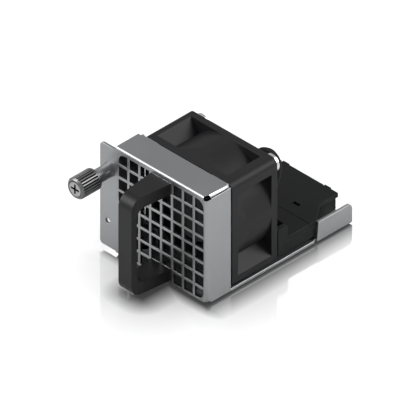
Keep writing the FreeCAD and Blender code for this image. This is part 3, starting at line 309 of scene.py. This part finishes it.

# Phosphated steel, for the nuts, and as painted shade on the screws' ends that show through the
# grille: a dark grey crystal coat that takes oil, with little shine. Its fine crystals are drawn
# 0.2 mm coarse, to show.
phosphate = start_material("phosphated_steel")
phosphate_at = add_node(phosphate, "ShaderNodeTexCoord")
phosphate_grain = add_node(
    phosphate, "ShaderNodeTexNoise",
    {"Scale": 1 / (0.2 * MM), "Detail": 3.0}, {"Vector": phosphate_at.outputs["Object"]})
phosphate_tone = add_node(
    phosphate, "ShaderNodeMix",
    {"data_type": "RGBA", 6: linear("#1E1E1F"), 7: linear("#2E2E30")},
    {0: phosphate_grain.outputs["Fac"]})
phosphate_surface = add_node(
    phosphate, "ShaderNodeBsdfPrincipled",
    {"Metallic": 0.6, "Roughness": 0.55}, {"Base Color": phosphate_tone.outputs[2]})
add_node(
    phosphate, "ShaderNodeOutputMaterial", links={"Surface": phosphate_surface.outputs["BSDF"]})
finish_with(phosphate, "clinch_nuts")
screws = broken_edges("fan_screws", "root", 0.12)
finish_with(nickel, "fan_screws_finished")
screws.data.materials.append(phosphate)
# The screws' ends, which show through the grille, take the dark phosphate as painted shade
screw_ends = -21 * MM
for face in screws.data.polygons:
    if face.center.y < screw_ends:
        face.material_index = 1


# Fan frame and impeller: PBT with short glass fibre, injection moulded. The frame's steel mould
# is spark eroded, which leaves a matte grain, and the blades' mould is polished. The grain of
# every moulding here is a few hundredths wide and is drawn 0.35 to 0.5 mm coarse, to show.
def moulded(name, dark, light, grain, rough, depth, gloss):
    """Moulded plastic: two sRGB tones, grain in mm, roughness range, bump depth in mm, gloss."""
    flow_width = 9 * MM
    made = start_material(name)
    at = add_node(made, "ShaderNodeTexCoord")
    fine = add_node(
        made, "ShaderNodeTexNoise",
        {"Scale": 1 / (grain * MM), "Detail": 2.0}, {"Vector": at.outputs["Object"]})
    flow = add_node(
        made, "ShaderNodeTexNoise",
        {"Scale": 1 / flow_width, "Detail": 3.0}, {"Vector": at.outputs["Object"]})
    tone = add_node(
        made, "ShaderNodeMix",
        {"data_type": "RGBA", 6: linear(dark), 7: linear(light)}, {0: flow.outputs["Fac"]})
    sheen = add_node(
        made, "ShaderNodeMapRange",
        {"To Min": rough[0], "To Max": rough[1]}, {"Value": fine.outputs["Fac"]})
    bump = add_node(
        made, "ShaderNodeBump",
        {"Strength": 0.5, "Distance": depth * MM}, {"Height": fine.outputs["Fac"]})
    surface = add_node(
        made, "ShaderNodeBsdfPrincipled", {"IOR": 1.5, "Specular IOR Level": gloss},
        {"Base Color": tone.outputs[2], "Roughness": sheen.outputs["Result"],
         "Normal": bump.outputs["Normal"]})
    add_node(made, "ShaderNodeOutputMaterial", links={"Surface": surface.outputs["BSDF"]})
    return made


frame_plastic = moulded(
    "black_moulded_pbt", "#131314", "#18181A", 0.35, (0.42, 0.60), 0.01, 0.18)
blade_plastic = moulded(
    "black_polished_pbt", "#0E0E0F", "#141415", 0.5, (0.26, 0.38), 0.004, 0.25)
fan = broken_edges("fan_frame", "root", 0.12)
finish_with(frame_plastic, "fan_frame_finished")
finish_with(blade_plastic, "impeller")

# The frame's upper left corner is rounded a little more than the CAD's smallest radius
frame_left = -20 * MM
frame_top = 41 * MM
corner_reach = 0.93 * MM
rounder = 0.8
for corner in fan.data.vertices:
    off = (corner.co.x - frame_left, corner.co.z - frame_top)
    if math.hypot(*off) < corner_reach:
        corner.co.x += rounder * off[0]
        corner.co.z += rounder * off[1]


# Motor inside the hub: drawn steel cup with a ring magnet, ground shaft in two ball bearings
# with a wave spring and a clip, varnished laminated core with four coils, and its round board.
finish_with(nickel, "rotor_yoke", "bearing_spring", "shaft_clip")
finish_with(phosphate, "fan_shaft")

# Ground bearing steel: fine lines run round it, so its shine changes in narrow rings
ground_steel = start_material("ground_bearing_steel")
ground_at = add_node(ground_steel, "ShaderNodeTexCoord")
ground_stretch = add_node(
    ground_steel, "ShaderNodeMapping",
    {"Scale": (1.0, 12.0, 1.0)}, {"Vector": ground_at.outputs["Object"]})
ground_lines = add_node(
    ground_steel, "ShaderNodeTexNoise",
    {"Scale": 1 / (1.2 * MM), "Detail": 3.0}, {"Vector": ground_stretch.outputs["Vector"]})
ground_rough = add_node(
    ground_steel, "ShaderNodeMapRange",
    {"To Min": 0.10, "To Max": 0.24}, {"Value": ground_lines.outputs["Fac"]})
ground_surface = add_node(
    ground_steel, "ShaderNodeBsdfPrincipled",
    {"Metallic": 1.0, "Base Color": linear("#C6C8CC")},
    {"Roughness": ground_rough.outputs["Result"]})
add_node(
    ground_steel, "ShaderNodeOutputMaterial", links={"Surface": ground_surface.outputs["BSDF"]})
finish_with(ground_steel, "front_bearing", "rear_bearing")

# Pressed ferrite: dull dark grey powder with paler specks, drawn 0.3 mm coarse, to show
ferrite = start_material("pressed_ferrite")
ferrite_at = add_node(ferrite, "ShaderNodeTexCoord")
ferrite_grain = add_node(
    ferrite, "ShaderNodeTexVoronoi",
    {"Scale": 1 / (0.3 * MM)}, {"Vector": ferrite_at.outputs["Object"]})
ferrite_tone = add_node(
    ferrite, "ShaderNodeMix",
    {"data_type": "RGBA", 6: linear("#2A2A2C"), 7: linear("#3C3C3F")},
    {0: ferrite_grain.outputs["Distance"]})
ferrite_surface = add_node(
    ferrite, "ShaderNodeBsdfPrincipled",
    {"Roughness": 0.75}, {"Base Color": ferrite_tone.outputs[2]})
add_node(ferrite, "ShaderNodeOutputMaterial", links={"Surface": ferrite_surface.outputs["BSDF"]})
finish_with(ferrite, "rotor_magnet")

# Stack of 0.35 mm sheets, so thin dark joints run round its sides under clear varnish
sheet_pitch = 0.35 * MM
joint_start = 0.86
laminate = start_material("varnished_laminations")
laminate_at = add_node(laminate, "ShaderNodeTexCoord")
laminate_split = add_node(
    laminate, "ShaderNodeSeparateXYZ", links={"Vector": laminate_at.outputs["Object"]})
laminate_count = add_node(
    laminate, "ShaderNodeMath",
    {"operation": "MULTIPLY", 1: 1 / sheet_pitch}, {0: laminate_split.outputs["Y"]})
laminate_part = add_node(
    laminate, "ShaderNodeMath", {"operation": "FRACT"}, {0: laminate_count.outputs[0]})
laminate_joint = add_node(
    laminate, "ShaderNodeMath",
    {"operation": "GREATER_THAN", 1: joint_start}, {0: laminate_part.outputs[0]})
laminate_tone = add_node(
    laminate, "ShaderNodeMix",
    {"data_type": "RGBA", 6: linear("#8F9196"), 7: linear("#3A3632")},
    {0: laminate_joint.outputs[0]})
laminate_surface = add_node(
    laminate, "ShaderNodeBsdfPrincipled",
    {"Metallic": 0.8, "Roughness": 0.35, "Coat Weight": 0.5},
    {"Base Color": laminate_tone.outputs[2]})
add_node(
    laminate, "ShaderNodeOutputMaterial", links={"Surface": laminate_surface.outputs["BSDF"]})
finish_with(laminate, "stator_core")

# Enamelled wire 0.2 mm thick, layer on layer, which reads as fine parallel copper-brown threads
copper = start_material("enamelled_copper_wire")
copper_at = add_node(copper, "ShaderNodeTexCoord")
copper_turns = add_node(
    copper, "ShaderNodeTexWave",
    {"wave_type": "BANDS", "bands_direction": "Y", "Scale": 1 / (0.2 * MM) / 20 * math.pi,
     "Distortion": 0.6},
    {"Vector": copper_at.outputs["Object"]})
copper_tone = add_node(
    copper, "ShaderNodeMix",
    {"data_type": "RGBA", 6: linear("#5A2A14"), 7: linear("#B86A38")},
    {0: copper_turns.outputs["Fac"]})
copper_bump = add_node(
    copper, "ShaderNodeBump",
    {"Strength": 0.6, "Distance": 0.05 * MM}, {"Height": copper_turns.outputs["Fac"]})
copper_surface = add_node(
    copper, "ShaderNodeBsdfPrincipled", {"Metallic": 0.7, "Roughness": 0.3, "Coat Weight": 0.4},
    {"Base Color": copper_tone.outputs[2], "Normal": copper_bump.outputs["Normal"]})
add_node(copper, "ShaderNodeOutputMaterial", links={"Surface": copper_surface.outputs["BSDF"]})
finish_with(copper, "stator_windings")

# Glass epoxy board under green solder mask: buried copper traces show as lighter straight fields
board = start_material("solder_masked_glass_epoxy")
board_at = add_node(board, "ShaderNodeTexCoord")
board_flat = add_node(
    board, "ShaderNodeMapping",
    {"Rotation": (0.0, 0.0, math.radians(45))}, {"Vector": board_at.outputs["Object"]})
board_tracks = add_node(
    board, "ShaderNodeTexBrick",
    {"Scale": 1 / (5 * MM), "Color1": linear("#0E3A20"), "Color2": linear("#14502C"),
     "Mortar": linear("#0A2A18"), "Mortar Size": 0.04, "Brick Width": 1.6, "Row Height": 0.22},
    {"Vector": board_flat.outputs["Vector"]})
board_bump = add_node(
    board, "ShaderNodeBump",
    {"Strength": 0.3, "Distance": 0.03 * MM}, {"Height": board_tracks.outputs["Fac"]})
board_surface = add_node(
    board, "ShaderNodeBsdfPrincipled", {"Roughness": 0.22, "IOR": 1.55},
    {"Base Color": board_tracks.outputs["Color"], "Normal": board_bump.outputs["Normal"]})
add_node(board, "ShaderNodeOutputMaterial", links={"Surface": board_surface.outputs["BSDF"]})
finish_with(board, "motor_board", "interface_board")


# Pull handle: one nylon moulding with two feet, held from behind the panel by two screws in
# brass inserts. Its grain is coarser than the fan's, for grip.
handle_plastic = moulded(
    "black_moulded_nylon", "#111112", "#161617", 0.45, (0.36, 0.50), 0.02, 0.2)
broken_edges("pull_handle", "root", 0.25, held=True)
finish_with(handle_plastic, "pull_handle_finished")
finish_with(phosphate, "handle_screws")

# Turned brass with a knurl that the plastic grips, so diagonal ridges cross on its sides
brass = start_material("knurled_brass")
brass_at = add_node(brass, "ShaderNodeTexCoord")
brass_knurl = add_node(
    brass, "ShaderNodeTexWave",
    {"wave_type": "BANDS", "bands_direction": "DIAGONAL", "Scale": 1 / (0.5 * MM) / 20 * math.pi},
    {"Vector": brass_at.outputs["Object"]})
brass_bump = add_node(
    brass, "ShaderNodeBump",
    {"Strength": 0.5, "Distance": 0.1 * MM}, {"Height": brass_knurl.outputs["Fac"]})
brass_surface = add_node(
    brass, "ShaderNodeBsdfPrincipled",
    {"Metallic": 1.0, "Roughness": 0.3, "Base Color": linear("#C9A65E")},
    {"Normal": brass_bump.outputs["Normal"]})
add_node(brass, "ShaderNodeOutputMaterial", links={"Surface": brass_surface.outputs["BSDF"]})
finish_with(brass, "handle_inserts")


# Captive thumbscrew: a sleeve pressed in the ear, a fluted knob on it, and the screw with its
# washer inside. Turned steel, nickel plated to a dark satin, with rings from the lathe tool,
# which are drawn 0.25 mm apart, to show.
def turned_metal(name, dark, light, rough, recess=None):
    """Metal turned about the thumbscrew's axis, from two sRGB tones and a roughness range.

    A recess is the depth where it starts, the depth where it ends, its radius and the tone of the
    painted shade in it.
    """
    ring_pitch = 0.25 * MM
    sleeve_low, sleeve_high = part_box("thumbscrew_sleeve")
    middle = (sleeve_low + sleeve_high) / 2
    made = start_material(name)
    at = add_node(made, "ShaderNodeTexCoord")
    centred = add_node(
        made, "ShaderNodeMapping",
        {"Location": (-middle.x, 0.0, -middle.z)}, {"Vector": at.outputs["Object"]})
    rings = add_node(
        made, "ShaderNodeTexWave",
        {"wave_type": "RINGS", "rings_direction": "Y", "Scale": 1 / ring_pitch / 20 * math.pi,
         "Distortion": 0.3},
        {"Vector": centred.outputs["Vector"]})
    cloud = add_node(
        made, "ShaderNodeTexNoise",
        {"Scale": 1 / (1.5 * MM), "Detail": 3.0}, {"Vector": at.outputs["Object"]})
    tone = add_node(
        made, "ShaderNodeMix",
        {"data_type": "RGBA", 6: linear(dark), 7: linear(light)}, {0: cloud.outputs["Fac"]})
    # Painted shade, mixed in within the recess
    if recess:
        start, end, radius, shade = recess
        split = add_node(made, "ShaderNodeSeparateXYZ", links={"Vector": at.outputs["Object"]})
        past = add_node(
            made, "ShaderNodeMath",
            {"operation": "GREATER_THAN", 1: start}, {0: split.outputs["Y"]})
        before = add_node(
            made, "ShaderNodeMath", {"operation": "LESS_THAN", 1: end}, {0: split.outputs["Y"]})
        between = add_node(
            made, "ShaderNodeMath",
            {"operation": "MULTIPLY"}, {0: past.outputs[0], 1: before.outputs[0]})
        across = add_node(
            made, "ShaderNodeVectorMath",
            {"operation": "MULTIPLY", 1: (1.0, 0.0, 1.0)}, {0: centred.outputs["Vector"]})
        from_axis = add_node(
            made, "ShaderNodeVectorMath", {"operation": "LENGTH"}, {0: across.outputs["Vector"]})
        within = add_node(
            made, "ShaderNodeMath",
            {"operation": "LESS_THAN", 1: radius}, {0: from_axis.outputs["Value"]})
        inside = add_node(
            made, "ShaderNodeMath",
            {"operation": "MULTIPLY"}, {0: between.outputs[0], 1: within.outputs[0]})
        tone = add_node(
            made, "ShaderNodeMix",
            {"data_type": "RGBA", 7: linear(shade)}, {0: inside.outputs[0], 6: tone.outputs[2]})
    shine = add_node(
        made, "ShaderNodeMapRange",
        {"To Min": rough[0], "To Max": rough[1]}, {"Value": cloud.outputs["Fac"]})
    bump = add_node(
        made, "ShaderNodeBump",
        {"Strength": 0.05, "Distance": 0.01 * MM}, {"Height": rings.outputs["Fac"]})
    surface = add_node(
        made, "ShaderNodeBsdfPrincipled", {"Metallic": 1.0},
        {"Base Color": tone.outputs[2], "Roughness": shine.outputs["Result"],
         "Normal": bump.outputs["Normal"]})
    add_node(made, "ShaderNodeOutputMaterial", links={"Surface": surface.outputs["BSDF"]})
    return made


# Painted shade: near-black zones on the floors between the knob's flutes and in the cross in the
# screw's head
screw_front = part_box("thumbscrew_screw")[0].y
knob_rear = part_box("thumbscrew_knob")[1].y
flute_floor_shade = (screw_front + 0.75 * MM, knob_rear - 0.95 * MM, 3.80 * MM, "#181818")
cross_recess_shade = (screw_front + 0.05 * MM, screw_front + 1.2 * MM, 3.0 * MM, "#050505")
knob_metal = turned_metal("dark_satin_nickel", "#606060", "#6C6C6C", (0.34, 0.42), flute_floor_shade)
sleeve_metal = turned_metal("satin_nickel", "#8E8E8F", "#9A9A9B", (0.38, 0.42))
screw_metal = turned_metal(
    "satin_nickel_with_recess", "#959596", "#A2A2A3", (0.34, 0.44), cross_recess_shade)
broken_edges("thumbscrew_knob", "thumbscrew_head", 0.05)
finish_with(knob_metal, "thumbscrew_knob_finished")
finish_with(sleeve_metal, "thumbscrew_sleeve")
finish_with(screw_metal, "thumbscrew_screw")
finish_with(nickel, "thumbscrew_washer")

# Spring of the thumbscrew: hard-drawn wire 0.4 mm thick, coiled round the screw between the
# washer and the sleeve's lip, and shorter by the knob's 4 mm of travel when it is pushed in.
spring_low, spring_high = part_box("thumbscrew_spring")
spring_middle = (spring_low + spring_high) / 2
wire = 0.2 * MM
turns = 6
coil_radius = (spring_high.x - spring_low.x) / 2 - wire
rise = spring_high.y - spring_low.y - 2 * wire
bpy.ops.mesh.primitive_circle_add(
    vertices=10, radius=wire, location=(coil_radius, 0, 0), rotation=(math.pi / 2, 0, 0))
spring = bpy.context.object
spring.name = "thumbscrew_coil"
bpy.ops.object.transform_apply(location=True, rotation=True, scale=True)
winding = spring.modifiers.new("winding", "SCREW")
winding.axis = "Z"
winding.angle = 2 * math.pi * turns
winding.screw_offset = rise
winding.steps = 24 * turns
winding.render_steps = 24 * turns
bpy.ops.object.modifier_apply(modifier=winding.name)
bpy.ops.transform.rotate(value=math.pi / 2, orient_axis="X", center_override=(0, 0, 0))
spring.location = (spring_middle.x, spring_low.y + wire, spring_middle.z)
bpy.ops.object.transform_apply(location=True, rotation=True, scale=True)
bpy.ops.object.mode_set(mode="EDIT")
bpy.ops.mesh.select_all(action="DESELECT")
bpy.ops.mesh.select_non_manifold()
bpy.ops.mesh.edge_face_add()
bpy.ops.mesh.select_all(action="SELECT")
bpy.ops.mesh.normals_make_consistent(inside=False)
bpy.ops.object.mode_set(mode="OBJECT")
bpy.ops.object.shade_smooth_by_angle(angle=math.radians(50))
spring.select_set(False)
finish_with(nickel, "thumbscrew_coil")
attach(spring, "root")
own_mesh(spring)
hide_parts("thumbscrew_spring")


# Rear housing: a lower half, a cover over the lead and a cover over the plug, moulded in black
# ABS with a fine grain and snapped together over the interface board.
house_plastic = moulded(
    "black_moulded_abs", "#0B0D0C", "#101211", 0.4, (0.40, 0.55), 0.012, 0.12)
for part in ("housing_base", "lead_cover", "plug_cover"):
    broken_edges(part, "root", 0.1)
    finish_with(house_plastic, f"{part}_finished")
finish_with(house_plastic, "backplane_connector")

# Contacts: stamped bronze, plated with gold over nickel, so warm and bright with faint wipe marks
gold = start_material("gold_plated_bronze")
gold_at = add_node(gold, "ShaderNodeTexCoord")
gold_wipe = add_node(
    gold, "ShaderNodeTexNoise",
    {"Scale": 1 / (0.3 * MM), "Detail": 3.0}, {"Vector": gold_at.outputs["Object"]})
gold_rough = add_node(
    gold, "ShaderNodeMapRange",
    {"To Min": 0.16, "To Max": 0.34}, {"Value": gold_wipe.outputs["Fac"]})
gold_surface = add_node(
    gold, "ShaderNodeBsdfPrincipled",
    {"Metallic": 1.0, "Base Color": linear("#DDB25C")}, {"Roughness": gold_rough.outputs["Result"]})
add_node(gold, "ShaderNodeOutputMaterial", links={"Surface": gold_surface.outputs["BSDF"]})
finish_with(gold, "connector_contacts")

# Header and plug of the lead: natural nylon, moulded, milky and slightly glossy
nylon = moulded(
    "natural_moulded_nylon", "#CFCABA", "#DCD8CA", 0.4, (0.30, 0.42), 0.006, 0.5)
finish_with(nylon, "lead_header", "lead_plug")


# Motor lead: thin wires in a woven black polyester sleeve that leaves the motor base, arches
# over the upper screw and drops into the housing. The weave is drawn 0.5 mm coarse, to show.
weave = start_material("woven_polyester_sleeve")
weave_at = add_node(weave, "ShaderNodeTexCoord")
strand_pitch = 0.5 * MM
strands = []
for lean in (42, -42):
    leant = add_node(
        weave, "ShaderNodeMapping",
        {"Rotation": (math.radians(lean), 0.0, 0.0)}, {"Vector": weave_at.outputs["Object"]})
    strands.append(add_node(
        weave, "ShaderNodeTexWave",
        {"wave_type": "BANDS", "bands_direction": "Z", "Scale": 1 / strand_pitch / 20 * math.pi},
        {"Vector": leant.outputs["Vector"]}))
over = add_node(
    weave, "ShaderNodeMath",
    {"operation": "MAXIMUM"}, {0: strands[0].outputs["Fac"], 1: strands[1].outputs["Fac"]})
weave_tone = add_node(
    weave, "ShaderNodeMix",
    {"data_type": "RGBA", 6: linear("#070707"), 7: linear("#1C1C1D")}, {0: over.outputs[0]})
weave_bump = add_node(
    weave, "ShaderNodeBump",
    {"Strength": 0.7, "Distance": 0.08 * MM}, {"Height": over.outputs[0]})
weave_surface = add_node(
    weave, "ShaderNodeBsdfPrincipled", {"Roughness": 0.75, "Specular IOR Level": 0.15},
    {"Base Color": weave_tone.outputs[2], "Normal": weave_bump.outputs["Normal"]})
add_node(weave, "ShaderNodeOutputMaterial", links={"Surface": weave_surface.outputs["BSDF"]})
finish_with(weave, "fan_leads")

# The sleeve's arch over the screw stands up to 1 mm higher than the CAD's
arch_height = 4 * MM
arch_lift = 0.25
arch = bpy.data.objects.new("fan_leads_arched", frame["nodes"]["fan_leads"].data.copy())
bpy.context.scene.collection.objects.link(arch)
arch_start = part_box("fan_leads")[1].z - arch_height
for corner in arch.data.vertices:
    corner.co.z += max(0.0, corner.co.z - arch_start) * arch_lift
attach(arch, "root")
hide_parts("fan_leads")


# Table: a glossy white sheet whose mirror image fades a few millimetres from the module. How far
# a spot lies from the tray and the handle, in plan, sets how much of the mirror shows there.
table_level = -0.7 * MM
bpy.ops.mesh.primitive_plane_add(size=3.0, location=(0, 0, table_level))
floor = bpy.context.object
floor.name = "studio_floor"
bpy.ops.object.transform_apply(location=True, rotation=True, scale=True)
table = start_material("glossy_white_table")
white = add_node(table, "ShaderNodeBsdfDiffuse", {"Color": (0.9, 0.9, 0.9, 1.0)})
mirror = add_node(
    table, "ShaderNodeBsdfGlossy", {"Color": (0.08, 0.08, 0.08, 1.0), "Roughness": 0.05})
table_at = add_node(table, "ShaderNodeTexCoord")
table_split = add_node(
    table, "ShaderNodeSeparateXYZ", links={"Vector": table_at.outputs["Object"]})

# Two opposite corners in mm, and how many times faster the mirror fades in front of them
tray_plan = ((-20.9, -33.5), (20.9, 33.5), 2.2)
handle_plan = ((-3.0, -45.0), (3.0, -33.5), 1.0)
distances = []
for low, high, front in (tray_plan, handle_plan):
    reach = []
    for axis, start, end, rate in (("X", low[0], high[0], 1.0), ("Y", low[1], high[1], front)):
        before = add_node(
            table, "ShaderNodeMath",
            {"operation": "MULTIPLY_ADD", 1: -rate, 2: start * rate * MM},
            {0: table_split.outputs[axis]})
        after = add_node(
            table, "ShaderNodeMath",
            {"operation": "SUBTRACT", 1: end * MM}, {0: table_split.outputs[axis]})
        past = add_node(
            table, "ShaderNodeMath",
            {"operation": "MAXIMUM"}, {0: before.outputs[0], 1: after.outputs[0]})
        reach.append(add_node(
            table, "ShaderNodeMath", {"operation": "MAXIMUM", 1: 0.0}, {0: past.outputs[0]}))
    away = add_node(
        table, "ShaderNodeCombineXYZ", links={"X": reach[0].outputs[0], "Y": reach[1].outputs[0]})
    distances.append(add_node(
        table, "ShaderNodeVectorMath", {"operation": "LENGTH"}, {0: away.outputs[0]}))
near = add_node(
    table, "ShaderNodeMath",
    {"operation": "MINIMUM"},
    {0: distances[0].outputs["Value"], 1: distances[1].outputs["Value"]})
fade = add_node(
    table, "ShaderNodeMapRange",
    {"From Min": 0.0, "From Max": 11.4 * MM, "To Min": 0.91, "To Max": 0.0},
    {"Value": near.outputs[0]})
faint = add_node(
    table, "ShaderNodeMapRange",
    {"From Min": 0.0, "From Max": 36 * MM, "To Min": 0.22, "To Max": 0.0},
    {"Value": near.outputs[0]})
shown = add_node(
    table, "ShaderNodeMath",
    {"operation": "MAXIMUM"}, {0: fade.outputs["Result"], 1: faint.outputs["Result"]})
both = add_node(table, "ShaderNodeMixShader", links={
    0: shown.outputs[0], 1: white.outputs["BSDF"], 2: mirror.outputs["BSDF"]})
add_node(table, "ShaderNodeOutputMaterial", links={"Surface": both.outputs["Shader"]})
finish_with(table, "studio_floor")


# Studio light: an even room, and two soft lights for the module alone, which draw the bright
# lines along the tray's bends. The table has its own light from above, which the module doesn't
# shade, and cards that show only in its gloss, so the mirror image stands out against white.
module_parts = bpy.data.collections.new("module_parts")
table_parts = bpy.data.collections.new("table_parts")
for thing in bpy.data.objects:
    if thing.type == "MESH":
        (table_parts if thing is floor else module_parts).objects.link(thing)
world = bpy.data.worlds.new("white_room")
world.use_nodes = True
world.node_tree.nodes["Background"].inputs["Color"].default_value = (1.0, 1.0, 1.0, 1.0)
world.node_tree.nodes["Background"].inputs["Strength"].default_value = 0.62
bpy.context.scene.world = world
light_distance = 2.0
for name, toward, size, energy, lit in (
    ("front_left_light", (-1.0, -1.0, 1.0), 1.25, 42.0, module_parts),
    ("back_right_light", (1.0, 1.0, 1.0), 1.25, 42.0, module_parts),
    ("front_left_card", (-1.0, -1.0, 1.0), 1.25, 63.0, table_parts),
    ("back_right_card", (1.0, 1.0, 1.0), 1.25, 63.0, table_parts),
    ("back_left_card", (-1.0, 1.0, 1.0), 1.25, 63.0, table_parts),
    ("table_light", (0.0, 0.0, 1.0), 3.0, 49.0, table_parts),
):
    bpy.ops.object.light_add(type="AREA", location=Vector(toward).normalized() * light_distance)
    light = bpy.context.object
    light.name = name
    light.data.size = size
    light.data.energy = energy
    light.rotation_euler = Vector(toward).to_track_quat("Z", "Y").to_euler()
    light.light_linking.receiver_collection = lit
    light.visible_diffuse = not name.endswith("card")
    if name == "table_light":
        light.light_linking.blocker_collection = table_parts

# Camera: orthographic, 45 degrees round and about 35 degrees up, as in the photograph
to_camera = Vector((0.5785, -0.5785, 0.575)).normalized()
aim = Vector((4.71, -15.67, 21.0)) * MM
camera_distance = 0.6
camera_data = bpy.data.cameras.new("camera")
camera_data.type = "ORTHO"
camera_data.ortho_scale = 136.4 * MM
camera_data.clip_start = 0.01
camera = bpy.data.objects.new("camera", camera_data)
camera.location = aim + to_camera * camera_distance
camera.rotation_euler = to_camera.to_track_quat("Z", "Y").to_euler()
bpy.context.scene.collection.objects.link(camera)
bpy.context.scene.camera = camera
bpy.context.scene.view_settings.view_transform = "Standard"
